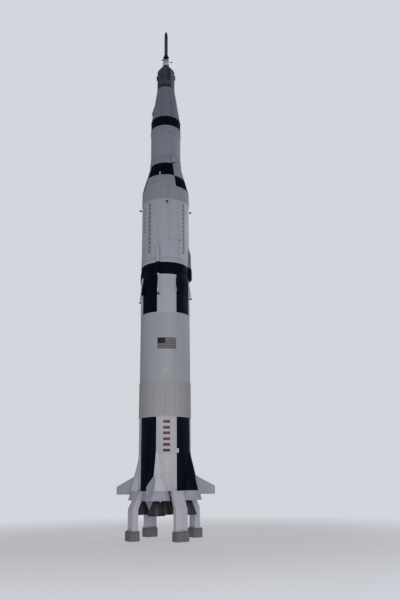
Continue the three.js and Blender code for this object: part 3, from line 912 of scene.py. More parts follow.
def section_bolts(name, light, lower, edge):
    """Bolts round the ring or flange at the section's lower end."""
    height = low(name) + min(edge[1], RING[1]) / 2
    return bolt_ring(name + "_bolts", light, BOLT_COUNT, lower + edge[0], height, BOLT_R, BOLT_H, True)


# Marks, seams and small fittings on the skin

PATCH_STEP = 3  # degrees between two points of a patch's outline
PATCH_SINK = 0.001
PAINT_FILM = 0.0007


def patch(name, start, end, bottom, top, finish, out=PAINT_FILM, radius=radius_at):
    """A thin closed sheet on the round skin, between two azimuths and two heights."""
    count = max(1, math.ceil((end - start) / PATCH_STEP))
    sections = []
    for step in range(count + 1):
        azimuth = start + (end - start) * step / count
        corners = [(bottom, -PATCH_SINK), (bottom, out), (top, out), (top, -PATCH_SINK)]
        sections.append([spot(azimuth, radius(height) + far, height) for height, far in corners])
    return finished(smoothed(lofted(name, sections)), finish)


def strip(name, azimuth, half, bottom, top, finish, out=PAINT_FILM, radius=radius_at):
    """A patch that reaches as far to both sides of an azimuth."""
    return patch(name, azimuth - half, azimuth + half, bottom, top, finish, out, radius)


def skin_box(name, azimuth, height, width, tall, depth, finish, nose=1.0):
    """A box with rounded edges on the skin. nose is the share of its depth at its upper end."""
    sections = []
    for level, share in ((height - tall / 2, 1.0), (height + tall / 2, nose)):
        skin = radius_at(level)
        sections.append(slab(azimuth, skin - 0.01, skin + depth * share, width / 2, level))
    return block(name, sections, min(width, tall, depth) * 0.15, finish)


STRIPE_COUNT = 5
STRIPE_START = 1.5  # degrees
STRIPE_END = 44
STRIPE_BOTTOM = 3.510
STRIPE_TOP = 3.730
FIELD_END = 19
FIELD_BOTTOM = 3.616

marks = [
    # node, copies round the rocket, azimuth from, azimuth to, bottom, top, finish, how far proud
    ("oxidizer_tank", 2, STRIPE_START, STRIPE_END, STRIPE_BOTTOM, STRIPE_TOP, "stripe_pale", 0.0006),
    ("oxidizer_tank", 2, STRIPE_START, FIELD_END, FIELD_BOTTOM, STRIPE_TOP, "field_blue", 0.0016),
    # Two small patches a little lighter than the tank's paint.
    ("oxidizer_tank", 1, 14.0, 19.5, 3.050, 3.125, "touch_up", 0.0004),
    ("oxidizer_tank", 1, 20.5, 25.0, 3.085, 3.150, "touch_up", 0.0004),
    ("oxidizer_tank", 1, 53.0, 57.0, 3.330, 3.345, "seam_grey", 0.0006),
    ("oxidizer_tank", 4, 44.85, 45.15, 2.930, 4.240, "seam_grey", 0.0006),
    ("fuel_tank", 4, 44.85, 45.15, 1.560, 2.176, "seam_grey", 0.0006),
    ("second_tank", 4, -15.4, -14.8, 5.430, 5.830, "line_dark", 0.0008),
    ("second_tank", 4, -9.3, -8.7, 5.430, 5.760, "line_dark", 0.0008),
    ("second_tank", 4, 50.2, 50.8, 5.430, 5.830, "line_dark", 0.0008),
    ("second_tank", 1, 25.5, 27.5, 5.800, 5.822, "line_dark", 0.0012),
    ("upper_interstage", 1, 0.0, 3.0, 7.358, 7.440, "box_white", 0.0040),
    ("third_tank", 4, -16.3, -15.7, 7.900, 8.460, "seam_grey", 0.0008),
    ("third_tank", 4, 54.0, 54.7, 7.900, 8.460, "seam_grey", 0.0008),
    ("third_tank", 2, 31.0, 74.0, 8.418, 8.424, "line_dark", 0.0008),
    ("third_tank", 2, 27.5, 30.7, 8.436, 8.464, "dark_fitting", 0.0020),
    ("lander_adapter", 4, 44.5, 45.5, 8.890, 9.725, "module_mid", 0.0010),
    ("lander_adapter", 4, -0.6, 0.6, 8.890, 9.725, "module_mid", 0.0010),
]
BAR_TURNS = [22.5, 202.5]
BAR_HALF = 7.5  # degrees
BAR_TALL = 0.052
bar_pairs = [
    # bottom of the lower bar, top of the upper one
    (1.555, 1.710),
    (1.761, 1.922),
    (1.971, 2.132),
]
dash_columns = {
    # azimuth: finish of the lower dashes, of the upper ones
    -22.5: ("dash_brown", "dash_brown"),
    67.5: ("dash_grey", "dash_grey"),
    157.5: ("dash_brown", "dash_brown"),
    247.5: ("dash_grey", "dash_grey"),
}
DASH_COUNT = 12
DASH_CHANGE = 6.0  # height where the upper dashes begin
DASH_BOTTOM = 5.55
DASH_TOP = 6.68
DASH_SHARE = 0.80  # share of the pitch that a dash fills
DASH_HALF = 3.2  # degrees
VENT_TURNS = [-42, 138]
VENT_COUNT = 9
VENT_BOTTOM = 6.06
VENT_PITCH = 0.066
VENT_HALF = 1.8  # degrees
VENT_TALL = 0.028
VENT_OUT = 0.002

skin_boxes = [
    # node, azimuth of each, height, width, tall, depth, finish, nose
    ("fuel_tank", [46.0, 226.0], 1.575, 0.043, 0.076, 0.030, "box_white", 1.0),
    ("fuel_tank", [45.2, 225.2], 1.568, 0.016, 0.032, 0.031, "dark_fitting", 1.0),
    ("thrust_structure", [33.0, 147.0], 0.960, 0.050, 0.070, 0.016, "stage_white", 0.8),
    ("lower_interstage", [22.5, 202.5], 4.930, 0.030, 0.040, 0.012, "skirt_white", 0.7),
    ("second_tank", [54.3], 5.820, 0.022, 0.026, 0.010, "line_dark", 0.8),
    ("third_forward_skirt", [118.0, 298.0], 8.540, 0.040, 0.050, 0.014, "third_white", 0.7),
    ("instrument_ring", [75.0, 255.0], 8.745, 0.070, 0.080, 0.006, "black", 1.0),
]
hatches = [
    # node, azimuth of each, height, half width in degrees, half height
    ("intertank", [137.0, 317.0], 2.68, 5.0, 0.055),
    ("thrust_structure", [22.5, 202.5], 1.36, 5.0, 0.060),
    ("first_forward_skirt", [112.5, 292.5], 4.42, 5.0, 0.050),
    ("second_forward_skirt", [101.0, 281.0], 6.83, 4.5, 0.040),
    ("upper_interstage", [112.0, 292.0], 7.20, 5.0, 0.050),
    ("third_forward_skirt", [200.0], 8.545, 5.5, 0.025),
]
HATCH_OUT = 0.0105  # just past the corrugations
HATCH_BOLT_R = 0.0028


def marks_on(name):
    """The marks, seams and boxes that belong to one section."""
    parts = []
    for number, (owner, copies, start, end, bottom, top, finish, out) in enumerate(marks):
        if owner != name:
            continue
        for copy in range(copies):
            turn = 360 * copy / copies
            label = f"{name}_mark_{number}_{copy}"
            parts.append(patch(label, start + turn, end + turn, bottom, top, finish, out))
    for number, (owner, turns, *sizes) in enumerate(skin_boxes):
        if owner == name:
            parts += [skin_box(f"{name}_box_{number}_{turn}", turn, *sizes) for turn in turns]
    return parts


def stripes():
    """Plain stripes over the pale patch on the tank, the same on both sides of the rocket."""
    pitch = (STRIPE_TOP - STRIPE_BOTTOM) / (2 * STRIPE_COUNT - 1)
    parts = []
    for turn in (0, 180):
        for stripe in range(STRIPE_COUNT):
            bottom = STRIPE_BOTTOM + 2 * pitch * stripe
            parts.append(patch(
                f"stripe_{turn}_{stripe}", STRIPE_START + turn, STRIPE_END + turn, bottom, bottom + pitch,
                "stripe_red", 0.0011,
            ))
    return parts


def bars_on(name):
    """Plain bars in pairs, up the white panels."""
    parts = []
    for turn in BAR_TURNS:
        for bottom, top in bar_pairs:
            if low(name) < bottom < high(name):
                for lower in (bottom, top - BAR_TALL):
                    label = f"bar_{turn}_{lower}"
                    parts.append(strip(label, turn, BAR_HALF, lower, lower + BAR_TALL, "mark_red"))
    return parts


def dash_marks():
    """Columns of plain dashes up the second stage."""
    pitch = (DASH_TOP - DASH_BOTTOM) / (DASH_COUNT - 1 + DASH_SHARE)
    parts = []
    for azimuth, finishes in dash_columns.items():
        for dash in range(DASH_COUNT):
            bottom = DASH_BOTTOM + pitch * dash
            finish = finishes[int(bottom > DASH_CHANGE)]
            top = bottom + pitch * DASH_SHARE
            parts.append(strip(f"dash_{azimuth}_{dash}", azimuth, DASH_HALF, bottom, top, finish))
    return parts


def vent_marks():
    """A column of small dark vents beside the dashes, on both sides of the rocket."""
    parts = []
    for azimuth in VENT_TURNS:
        for vent in range(VENT_COUNT):
            bottom = VENT_BOTTOM + VENT_PITCH * vent
            top = bottom + VENT_TALL
            label = f"vent_{azimuth}_{vent}"
            parts.append(strip(label, azimuth, VENT_HALF, bottom, top, "dark_fitting", VENT_OUT))
    return parts


# The thin dark rings at 7.028, 7.868, 8.470 and 8.600 are painted shadow under the raised rings at the
# joints.
ring_marks = [
    # node, bottom, top, finish, how far proud
    ("second_tank", 5.318, 5.338, "skirt_white", 0.0012),
    ("second_tank", 5.371, 5.377, "wedge_side", 0.0008),
    ("second_tank", 5.408, 5.416, "line_dark", 0.0008),
    ("second_forward_skirt", 7.028, 7.034, "wedge_side", 0.0008),
    ("second_tank", 6.746, 6.753, "line_dark", 0.0008),
    ("second_tank", 5.835, 5.842, "seam_grey", 0.0013),
    ("third_aft_skirt", 7.868, 7.872, "wedge_side", 0.0006),
    ("third_tank", 8.470, 8.477, "line_dark", 0.0008),
    ("third_forward_skirt", 8.600, 8.604, "wedge_side", 0.0006),
]


def rings_on(name):
    """Thin painted rings all round a section, some of them painted shadow under the joint rings."""
    parts = []
    for owner, bottom, top, finish, out in ring_marks:
        if owner == name:
            inner, outer = radius_at(bottom) - PATCH_SINK, radius_at(bottom) + out
            rows = [(inner, bottom), (outer, bottom), (outer, top), (inner, top)]
            parts.append(finished(turned(f"{name}_ring_{bottom}", rows, closed=True), finish))
    return parts


def hatches_on(name, light):
    """Access hatches: a raised frame with bolts, and a door that stands a little proud of it."""
    parts = []
    out = HATCH_OUT if name == "intertank" else 0.0045
    for number, (owner, turns, height, half, tall) in enumerate(hatches):
        for azimuth in turns if owner == name else []:
            label = f"{name}_hatch_{number}_{azimuth}"
            door, line = tall * 0.82, tall * 0.91  # half heights of the door and of the lines of bolts
            parts.append(strip(label, azimuth, half, height - tall, height + tall, light, out))
            bottom, top = height - door, height + door
            parts.append(strip(label + "_door", azimuth, half * 0.8, bottom, top, light, out + 0.0015))
            bolts = [(step / 3 - 1, side) for side in (-1, 1) for step in range(7)]
            bolts += [(side, step / 2 - 1) for side in (-1, 1) for step in range(1, 4)]
            for across, up in bolts:
                turn, level = azimuth + half * 0.9 * across, height + line * up
                parts.append(bolt_at(label + "_bolt", turn, radius_at(level) + out, level, light))
    return parts


def bolt_at(name, azimuth, out, height, finish):
    """One bolt head that stands out from a round skin."""
    start = spot(azimuth, out - 0.0005, height)
    end = start + Vector((0, 0, 0.0001))
    return bolt_row(name, finish, start, end, spot(azimuth, 1, 0), 1, HATCH_BOLT_R, HATCH_BOLT_R * 0.7)


# Lamps on short arms

LAMP_OUT = 0.042  # from the skin to a lamp's middle
LAMP_R = 0.023
LAMP_H = 0.040
LAMP_ARM_R = 0.006
lamp_rings = {
    # node: height, azimuth of the first lamp
    "lower_interstage": (4.632, 4),
    "second_tank": (6.664, 22),
}


def lamp(name, azimuth, height, reach, arm_out, arm_height, radius=LAMP_R, arm_r=LAMP_ARM_R):
    """A warning lamp: a dark housing with a dark glass, on an arm that comes out of the skin."""
    base = spot(azimuth, reach, height - LAMP_H / 2)
    body_rows = [
        (0, 0), (radius * 0.7, 0), (radius, LAMP_H * 0.1), (radius, LAMP_H * 0.46),
        (radius * 0.86, LAMP_H * 0.5), (0, LAMP_H * 0.5),
    ]
    glass_r = radius * 0.8
    glass_rows = [(0, LAMP_H * 0.48), (glass_r, LAMP_H * 0.48), (glass_r, LAMP_H * 0.72)]
    for step in range(1, 5):
        angle = math.radians(90 * step / 5)
        glass_rows.append((glass_r * math.cos(angle), LAMP_H * (0.72 + 0.28 * math.sin(angle))))
    glass_rows.append((0, LAMP_H))
    housing = finished(turned(name, body_rows, 24), "lamp_dark")
    glass = finished(turned(name + "_glass", glass_rows, 24), "lamp_glass")
    for part in (housing, glass):
        part.data.transform(Matrix.Translation(base))
    line = [spot(azimuth, arm_out, arm_height), spot(azimuth, reach - radius * 0.5, height - LAMP_H * 0.1)]
    return [housing, glass, tubes(name + "_arm", "lamp_dark", line, [(0, 1)], arm_r)]


def lamps_on(name):
    """Four lamps round a section, each with a foot under its arm."""
    height, first = lamp_rings[name]
    arm_height = height - 0.004
    parts = []
    for quarter in range(4):
        azimuth = first + 90 * quarter
        label = f"{name}_lamp_{quarter}"
        parts += lamp(label, azimuth, height, STAGE_R + LAMP_OUT, STAGE_R - 0.01, arm_height)
        label = f"{name}_foot_{quarter}"
        parts.append(skin_box(label, azimuth, arm_height, 0.03, 0.03, 0.005, "lamp_dark"))
    return parts


# The adapter's blunt housing on the left flank
HOUSING_TURN = -71
housing_rows = [
    # height, inner face, outer face, half width
    (9.100, 0.260, 0.316, 0.028),
    (9.112, 0.260, 0.322, 0.030),
    (9.300, 0.240, 0.271, 0.020),
]


def housing():
    sections = [slab(HOUSING_TURN, *sizes, height) for height, *sizes in housing_rows]
    return block("housing", sections, 0.003, "adapter_grey")


# Panels of the service module

module_panels = [
    # azimuth from, to, height from, to, finish; the first that fits a face holds
    (-60, -33.75, 9.70, 10.110, "module_deep"),
    (54.375, 101.25, 9.70, 10.300, "module_light"),
    (101.25, 123.75, 9.70, 10.300, "module_mid"),
    (-33.75, 54.375, 9.70, 9.824, "module_deep"),
    (-33.75, 54.375, 9.824, 9.935, "module_brown"),
    (-13.125, -5.625, 9.935, 10.300, "module_deep"),
    (7.5, 13.125, 9.935, 10.300, "module_mid"),
    (20.625, 33.75, 9.935, 10.300, "module_dim"),
    (33.75, 46.875, 9.935, 10.300, "module_deep"),
    (46.875, 54.375, 9.935, 10.300, "module_mid"),
    (170.625, 191.25, 9.935, 10.300, "module_mid"),
    (230.625, 251.25, 9.70, 10.300, "module_light"),
    (123.75, 300, 9.70, 9.824, "module_deep"),
    (123.75, 300, 9.824, 9.935, "module_brown"),
]


def module_finish(azimuth, height):
    """The finish of the panel at a place on the service module."""
    for start, end, bottom, top, finish in module_panels:
        if bottom < height < top and (azimuth - start) % 360 < end - start:
            return finish
    return "module"


def module_painted(piece):
    """Paints the service module by its panels."""
    return painted_by(piece, sorted({panel[4] for panel in module_panels} | {"module"}), module_finish)


def module_fittings():
    """Seams between the panels, and their bolts."""
    name = "service_module"
    radii, heights = (SERVICE_R, SERVICE_R), (9.944, 10.192)
    parts = [rib_ring(name + "_seams", "module", 24, radii, heights, 0.005, 0.0022, False)]
    for level, count in ((9.95, 72), (10.188, 72), (10.216, 96), (9.80, 72), (9.838, 72), (9.92, 72)):
        label = f"{name}_bolts_{level}"
        parts.append(bolt_ring(label, "module", count, SERVICE_R, level, 0.0024, 0.0022, True))
    return module_painted(joined(name + "_fittings", parts))


module_details = [
    # azimuth, height, width, tall, depth, finish
    (64, 10.03, 0.050, 0.120, 0.004, "module_light"),
    (86, 10.03, 0.050, 0.120, 0.004, "module_light"),
    (0, 10.15, 0.030, 0.034, 0.006, "module_mid"),
    (27, 9.99, 0.026, 0.050, 0.005, "module"),
    (-24, 10.01, 0.034, 0.060, 0.005, "module"),
    (180, 10.06, 0.060, 0.110, 0.005, "module"),
    (240, 10.03, 0.040, 0.120, 0.004, "module_light"),
    (146, 10.14, 0.030, 0.030, 0.006, "module_deep"),
    (215, 10.00, 0.030, 0.070, 0.005, "module_deep"),
]


def fittings_on(name, light):
    """What is fixed to one section's skin, apart from its own ribs and bolts."""
    # On the intertank the hatches take a darker grey: painted shade, matching the shaded sides of the
    # corrugations.
    hatch_shade = "seam_grey" if name == "intertank" else light
    parts = marks_on(name) + rings_on(name) + bars_on(name) + hatches_on(name, hatch_shade)
    if name in lamp_rings:
        parts += lamps_on(name)
    if name == "oxidizer_tank":
        parts += stripes()
    if name == "second_tank":
        parts += dash_marks() + vent_marks()
    if name == "lander_adapter":
        parts.append(housing())
    if name == "service_module":
        parts.append(module_fittings())
        for number, sizes in enumerate(module_details):
            parts.append(skin_box(f"{name}_panel_{number}", *sizes))
    return parts


# Corrugations between the two tanks of the first stage
WAVE_COUNT = 108
WAVE_WIDTH = 0.019
WAVE_DEPTH = 0.0085
WAVE_NOSE = 0.62  # share of the width at the crest
WAVE_MARGIN = 0.014
STEEP = 0.6  # how far a face turns sideways, from 0 to 1, to count as a steep side


def shaded_waves(piece):
    """Paints the steep sides of the corrugations a tone darker than their crests."""

    def is_steep(face):
        sideways = Vector((-face.center.y, face.center.x, 0)).normalized()
        return abs(face.normal.dot(sideways)) > STEEP

    return repainted(piece, "warm_shade", is_steep)


def section(name, lower, upper, edge, light):
    """One section of the stack, with all that is fixed to it."""
    parts = [section_skin(name, lower, upper, edge)]
    if name == "intertank":
        heights = low(name) + WAVE_MARGIN, high(name) - WAVE_MARGIN
        parts.append(rib_ring(
            name + "_waves", light, WAVE_COUNT, (STAGE_R, STAGE_R), heights, WAVE_WIDTH, WAVE_DEPTH, False,
            Nose=WAVE_NOSE,
        ))
    if name in ribbed:
        parts.append(section_ribs(name, light, edge))
    if name == "third_aft_skirt":
        radii = lower + edge[0], radius_at(FLANGE_RIBS[1]) + edge[0]
        parts.append(rib_ring(name + "_flange_ribs", light, 96, radii, FLANGE_RIBS, 0.006, 0.002))
    if edge:
        parts.append(section_bolts(name, light, lower, edge))
    whole = joined(name + "_skin", parts)
    if name == "service_module":
        module_painted(whole)
    else:
        painted(whole, light, split=name in ("upper_interstage", "lander_adapter"))
    if name == "intertank":
        shaded_waves(whole)
    whole = joined(name + "_skin", [whole] + fittings_on(name, light))
    kept(whole, name)


for row in stack:
    section(*row)


# The underside of the first stage: a heat shield with seams and covers

SHIELD_STRIPS = 16
STRIP_ENDS = (0.09, 0.49)  # distances from the axis
SHIELD_RINGS = (0.10, 0.24, 0.40)  # radii
SHIELD_COVERS = (0.17, 0.32)  # distances from the axis


def underside():
    """Radial strips, rings and round covers on the heat shield between the engines."""
    base = low("thrust_structure")
    trim = []
    for number in range(SHIELD_STRIPS):
        azimuth = 360 / SHIELD_STRIPS * (number + 0.5)
        sections = []
        for out in STRIP_ENDS:
            corners = [(-0.006, 0.001), (0.006, 0.001), (0.006, -0.003), (-0.006, -0.003)]
            sections.append([beside(azimuth, out, across, base + up) for across, up in corners])
        trim.append(finished(lofted(f"base_strip_{number}", sections), "stage_white"))
    for number, radius in enumerate(SHIELD_RINGS):
        rows = [
            (radius - 0.005, base + 0.001), (radius - 0.004, base - 0.003), (radius + 0.004, base - 0.003),
            (radius + 0.005, base + 0.001),
        ]
        trim.append(finished(turned(f"base_ring_{number}", rows, 96, closed=True), "stage_white"))
    for corner in range(4):
        for out in SHIELD_COVERS:
            rows = [(0, base - 0.006), (0.026, base - 0.006), (0.030, base - 0.003), (0.030, base), (0, base)]
            cover = finished(turned(f"base_cover_{corner}_{out}", rows, 32), "seam_grey")
            cover.data.transform(Matrix.Translation(spot(45 + 90 * corner, out, 0)))
            trim.append(cover)
    whole = joined("base_shield_trim", trim)
    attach(whole, "root")


underside()


# Engine fairings and fins

ENGINE_OUT = 0.462  # from the rocket's axis to an outer engine's
RIM_Z = low("fairing_front")
RIM_R = 0.259
TAPER = 0.245  # how much radius a fairing loses for each metre up
WALL = 0.012
RIM_BAND = 0.022  # the lip round the fairing's open end
FAIRING_FACETS = 120
FAIRING_RIBS = 36
FAIRING_FRAMES = (1.090, 1.340)
FRAME_MARGIN = 0.010  # between a rib's end and a frame
APEX_R = 0.008  # the cone's radius where it ends, inside the stage
STAGE_CUTTER_TOP = 2.2


def cone_r(height):
    """A fairing's outer radius at a height."""
    return RIM_R - TAPER * (height - RIM_Z)


def cone_rows(grow, bottom, top, bands=()):
    return skin_rows(bottom, top, cone_r(bottom) + grow, cone_r(top) + grow, bands)


def fairings():
    """A cone over each outer engine, open below and cut by the stage, with bands, frames, ribs and bolts."""
    base = low("thrust_structure")
    bands = [(RIM_Z, RIM_Z + RIM_BAND, 0.002), (base - 0.006, base + 0.006, 0.002)]
    bands += [(height - 0.004, height + 0.004, 0.0015) for height in FAIRING_FRAMES]
    apex = RIM_Z + (RIM_R - APEX_R) / TAPER
    over_engine = Matrix.Translation((0, -ENGINE_OUT, 0))
    outer = turned("fairing", [(0, RIM_Z), *cone_rows(0, RIM_Z, apex, bands), (0, apex)], FAIRING_FACETS)
    outer.data.transform(over_engine)
    pocket = turned("pocket", [(0, 0), *cone_rows(-WALL, 0, base), (0, base)], FAIRING_FACETS)
    pocket.data.transform(over_engine)
    reach = STAGE_R + RING[0] + SKIN_GAP
    stage = turned("stage", [(0, 0), (reach, 0), (reach, STAGE_CUTTER_TOP), (0, STAGE_CUTTER_TOP)])
    carved(outer, pocket)
    carved(outer, stage)
    trim = []
    for bottom, frame_height in zip((base + 0.002, FAIRING_FRAMES[0]), FAIRING_FRAMES):
        ends = bottom + FRAME_MARGIN, frame_height - FRAME_MARGIN
        radii = cone_r(ends[0]), cone_r(ends[1])
        label = f"fairing_ribs_{ends[0]}"
        trim.append(rib_ring(label, "fairing_white", FAIRING_RIBS, radii, ends, 0.006, 0.002))
    for height in (RIM_Z + RIM_BAND / 2, base, *FAIRING_FRAMES):
        label, out = f"fairing_bolts_{height}", cone_r(height) + 0.0015
        trim.append(bolt_ring(label, "fairing_white", 72, out, height, 0.0032, 0.003, True))
    for part in trim:
        part.data.transform(over_engine)
    whole = joined("fairing", [outer, *trim])
    for side, name in enumerate(SIDES):
        one = painted(copied(f"fairing_{name}_shell", whole, 90 * side), "fairing_white", split=True)
        # The lip below the stage takes the darker, bluer copy of the white: painted shade.
        repainted(one, "rim_white", lambda face: face.center.z < base)
        kept(one, "fairing_" + name)
    removed(whole)


fairings()


FIN_BEVEL = 0.004
FIN_BOTTOM = 0.793
FIN_ROOT_OUT = 0.640
FIN_TIP_OUT = 0.985
FIN_ROOT_TOP = 1.115
FIN_TIP_TOP = 0.940
FIN_ROOT_HALF = 0.017
FIN_TIP_HALF = 0.008
FIN_NOSE = 0.2  # share of the thickness left at the leading edge
fin_straps = [0.735, 0.815, 0.895, 0.968]  # distances from the axis of the upright straps on each face
FIN_STRAP_HALF = 0.004
ROOT_TOP_OUT = 0.660  # distance from the axis where the root flange ends above
FACE_LEAN = 0.03  # how far the bolts on the fin's faces point upwards


def fin_top(out):
    """Height of the front fin's upper edge at a distance from the axis."""
    share = (out - FIN_ROOT_OUT) / (FIN_TIP_OUT - FIN_ROOT_OUT)
    return FIN_ROOT_TOP + share * (FIN_TIP_TOP - FIN_ROOT_TOP)


def fin_half(out, height):
    """Half the front fin's thickness at a place on it."""
    hidden = FIN_ROOT_OUT - 0.080
    thick = FIN_ROOT_HALF + (FIN_TIP_HALF - FIN_ROOT_HALF) * (out - hidden) / (FIN_TIP_OUT - hidden)
    return thick * (1 - (1 - FIN_NOSE) * (height - FIN_BOTTOM) / (fin_top(out) - FIN_BOTTOM))


def on_fin(side, out, height, lift):
    """A point that stands proud of one face of the front fin."""
    return side * (fin_half(out, height) + lift), -out, height


def fin_strap(name, side, start, end, half, proud=0.0014):
    """A flat strap on one face of the front fin, from one place (out, height) to another."""
    (out_a, low_a), (out_b, low_b) = start, end
    across = Vector((low_b - low_a, out_a - out_b)).normalized() * half
    sections = []
    for out, height in (start, end):
        corners = ((-1, -0.002), (1, -0.002), (1, proud), (-1, proud))
        sections.append([
            on_fin(side, out + sign * across.x, height + sign * across.y, lift) for sign, lift in corners
        ])
    return finished(lofted(name, sections), "fin_white")


def fin_bolts(name, side, start, end, lift, count, radius, height):
    """Bolts on one face of the front fin, from one place (out, height) to another."""
    line = [on_fin(side, *place, lift) for place in (start, end)]
    return bolt_row(name, "fin_white", *line, (side, 0, FACE_LEAN), count, radius, height)


def fin_trim():
    """Straps, a root flange and rows of bolts on both faces of the front fin."""
    parts = []
    root_top = fin_top(ROOT_TOP_OUT)
    root = [(ENGINE_OUT + cone_r(z) + 0.012, z) for z in (FIN_BOTTOM + 0.004, root_top - 0.03)]
    for side in (-1, 1):
        for number, out in enumerate(fin_straps):
            ends = ((out, FIN_BOTTOM + 0.008), (out, fin_top(out) - 0.014))
            parts.append(fin_strap(f"strap_{side}_{number}", side, *ends, FIN_STRAP_HALF))
            parts.append(fin_bolts(f"strap_bolts_{side}_{number}", side, *ends, 0.001, 9, 0.0024, 0.002))
        low_line = ((root[0][0] + 0.012, FIN_BOTTOM + 0.014), (FIN_TIP_OUT - 0.006, FIN_BOTTOM + 0.014))
        parts.append(fin_strap(f"low_strap_{side}", side, *low_line, FIN_STRAP_HALF))
        parts.append(fin_strap(f"root_{side}", side, *root, 0.010, 0.0025))
        parts.append(fin_bolts(f"root_bolts_{side}", side, *root, 0.002, 16, 0.003, 0.0026))
    foot = []
    for height in (FIN_BOTTOM + 0.002, root_top - 0.02):
        out = ENGINE_OUT + cone_r(height)
        corners = ((-0.040, out - 0.006), (0.040, out - 0.006), (0.032, out + 0.003), (-0.032, out + 0.003))
        foot.append([(across, -far, height) for across, far in corners])
    parts.append(block("root_foot", foot, 0.001, "fin_white", 1))
    for side in (-1, 1):
        heights = (FIN_BOTTOM + 0.014, root_top - 0.035)
        line = [(side * 0.027, -(ENGINE_OUT + cone_r(z)) - 0.002, z) for z in heights]
        parts.append(bolt_row(f"foot_bolts_{side}", "fin_white", *line, (0, -1, 0.24), 14, 0.003, 0.0026))
    return joined("fin_trim", parts)


def fins():
    """Plates with rounded edges, with straps, root flanges and rows of fasteners."""
    trim = fin_trim()
    for side, name in enumerate(SIDES):
        blade = finished(rounded(node_copy(f"fin_{name}_blade", "fin_" + name), FIN_BEVEL), "fin_white")
        kept(joined(f"fin_{name}_blade", [blade, copied("trim", trim, 90 * side)]), "fin_" + name)
    removed(trim)


fins()


# Engines

engine_outside = [
    # height, radius of the bell's outside, from the exit up
    (0.430, 0.165), (0.472, 0.150), (0.520, 0.134), (0.560, 0.118), (0.600, 0.099), (0.642, 0.078),
    (0.690, 0.055), (0.735, 0.038), (0.750, 0.034), (0.766, 0.040), (0.785, 0.055), (0.800, 0.062),
]
BELL_WALL = 0.007
CHAMBER_FLOOR = 0.74
BLOCK_R = 0.062
BELL_FACETS = 72
HOOP_HEIGHTS = [0.452, 0.484, 0.520, 0.556, 0.592, 0.628]


def outside_at(height):
    """The bell's outer radius at a height."""
    return between(engine_outside, height)[0]


def engine():
    """A bell with cooling tubes, hoops and a lip, a floor inside, and the block that it hangs from."""
    top = high("engine_center")
    outside = [(radius, height) for height, radius in engine_outside]
    inside = [(radius - BELL_WALL, height) for radius, height in outside if height < CHAMBER_FLOOR - 0.02]
    rows = [(0, CHAMBER_FLOOR), *reversed(inside), *outside, (BLOCK_R, top), (0, top)]
    parts = [turned("engine", rows, BELL_FACETS)]
    line = [(0, -outside_at(mm / 1000) - 0.001, mm / 1000) for mm in range(640, 760, 12)]
    wire = shaped("tubes", line, edges=[(i, i + 1) for i in range(len(line) - 1)])
    parts.append(smoothed(grown("tubes", WALL_TUBES, "engine", wire, Count=44, Radius=0.0026, Sides=5)))
    for number, height in enumerate(HOOP_HEIGHTS):
        radius = outside_at(height)
        hoop = [
            (radius - 0.002, height - 0.004), (radius + 0.0035, height - 0.003),
            (radius + 0.0035, height + 0.003), (radius - 0.002, height + 0.004),
        ]
        parts.append(turned(f"hoop_{number}", hoop, BELL_FACETS, closed=True))
    lip = [(0.157, 0.4305), (0.166, 0.430), (0.168, 0.434), (0.166, 0.440), (0.160, 0.442)]
    parts.append(turned("lip", lip, BELL_FACETS, closed=True))
    parts.append(bolt_ring("block_bolts", "engine", 16, BLOCK_R, 0.835, 0.004, 0.004))
    return finished(joined("engine", parts), "engine")


def engines():
    """The middle engine, and one at each side."""
    one = engine()
    kept(copied("engine_center_bell", one), "engine_center")
    for side, name in enumerate(SIDES):
        kept(copied(f"engine_{name}_bell", one, 90 * side, (0, -ENGINE_OUT, 0)), "engine_" + name)
    removed(one)


engines()


# Legs and feet

leg_rows = [
    # height, inner face, outer face, half width
    (0.1703, 0.592, 0.700, 0.116),
    (0.545, 0.588, 0.698, 0.115),
    (0.8597, 0.440, 0.546, 0.115),
]
leg_collars = [
    # bottom, top, how far out
    (0.172, 0.186, 0.006),
    (0.538, 0.552, 0.003),
    (0.842, 0.858, 0.006),
]
leg_seams = [(0.19, 0.535), (0.555, 0.838)]  # bottom, top
LEG_SEAM_ACROSS = 0.080  # from the middle of the leg's outer face to each seam
LEG_TURN = 45
LEG_EDGE = 0.006
FOOT_EDGE = 0.008
BASE_PLATE = (0.562, 0.739, 0.112)  # inner edge, outer edge, half width
BASE_PLATE_THICK = 0.008


def leg_trim():
    """Collars at the ends and the knee of a leg, upright seams on its faces, and its bolts."""
    parts = []
    for bottom, top, out in leg_collars:
        sections = []
        for height in (bottom, top):
            inner, outer, half = between(leg_rows, height)
            sections.append(slab(LEG_TURN, inner - out, outer + out, half + out, height))
        parts.append(rounded(lofted(f"collar_{bottom}", sections), 0.0015, 2))
    for start, end in leg_seams:
        for across in (-LEG_SEAM_ACROSS, LEG_SEAM_ACROSS):
            sections = []
            for height in (start, end):
                outer = between(leg_rows, height)[1]
                corners = ((-0.002, -0.004), (0.002, -0.004), (0.002, 0.004), (-0.002, 0.004))
                sections.append([
                    beside(LEG_TURN, outer + proud, across + wide, height) for proud, wide in corners
                ])
            parts.append(lofted(f"leg_seam_{start}_{across}", sections))
    return finished(joined("leg_trim", parts), "leg_white")


def base_plate():
    """A steel plate under the leg, with anchor bolts beside it."""
    inner, outer, half = BASE_PLATE
    bottom = high("foot_front_right")
    top = bottom + BASE_PLATE_THICK
    sections = [slab(LEG_TURN, inner + 0.008, outer - 0.008, half, height) for height in (bottom, top)]
    parts = [block("base_plate", sections, 0.001, "steel", 1)]
    for number, (out, count) in enumerate(((inner + 0.017, 4), (outer - 0.019, 5))):
        line = [beside(LEG_TURN, out, across, top) for across in (-half + 0.016, half - 0.016)]
        for label, radius, height in (("washers", 0.0085, 0.002), ("anchors", 0.0062, 0.008)):
            parts.append(bolt_row(f"{label}_{number}", "steel", *line, (0, 0, 1), count, radius, height))
    return joined("base_plate", parts)


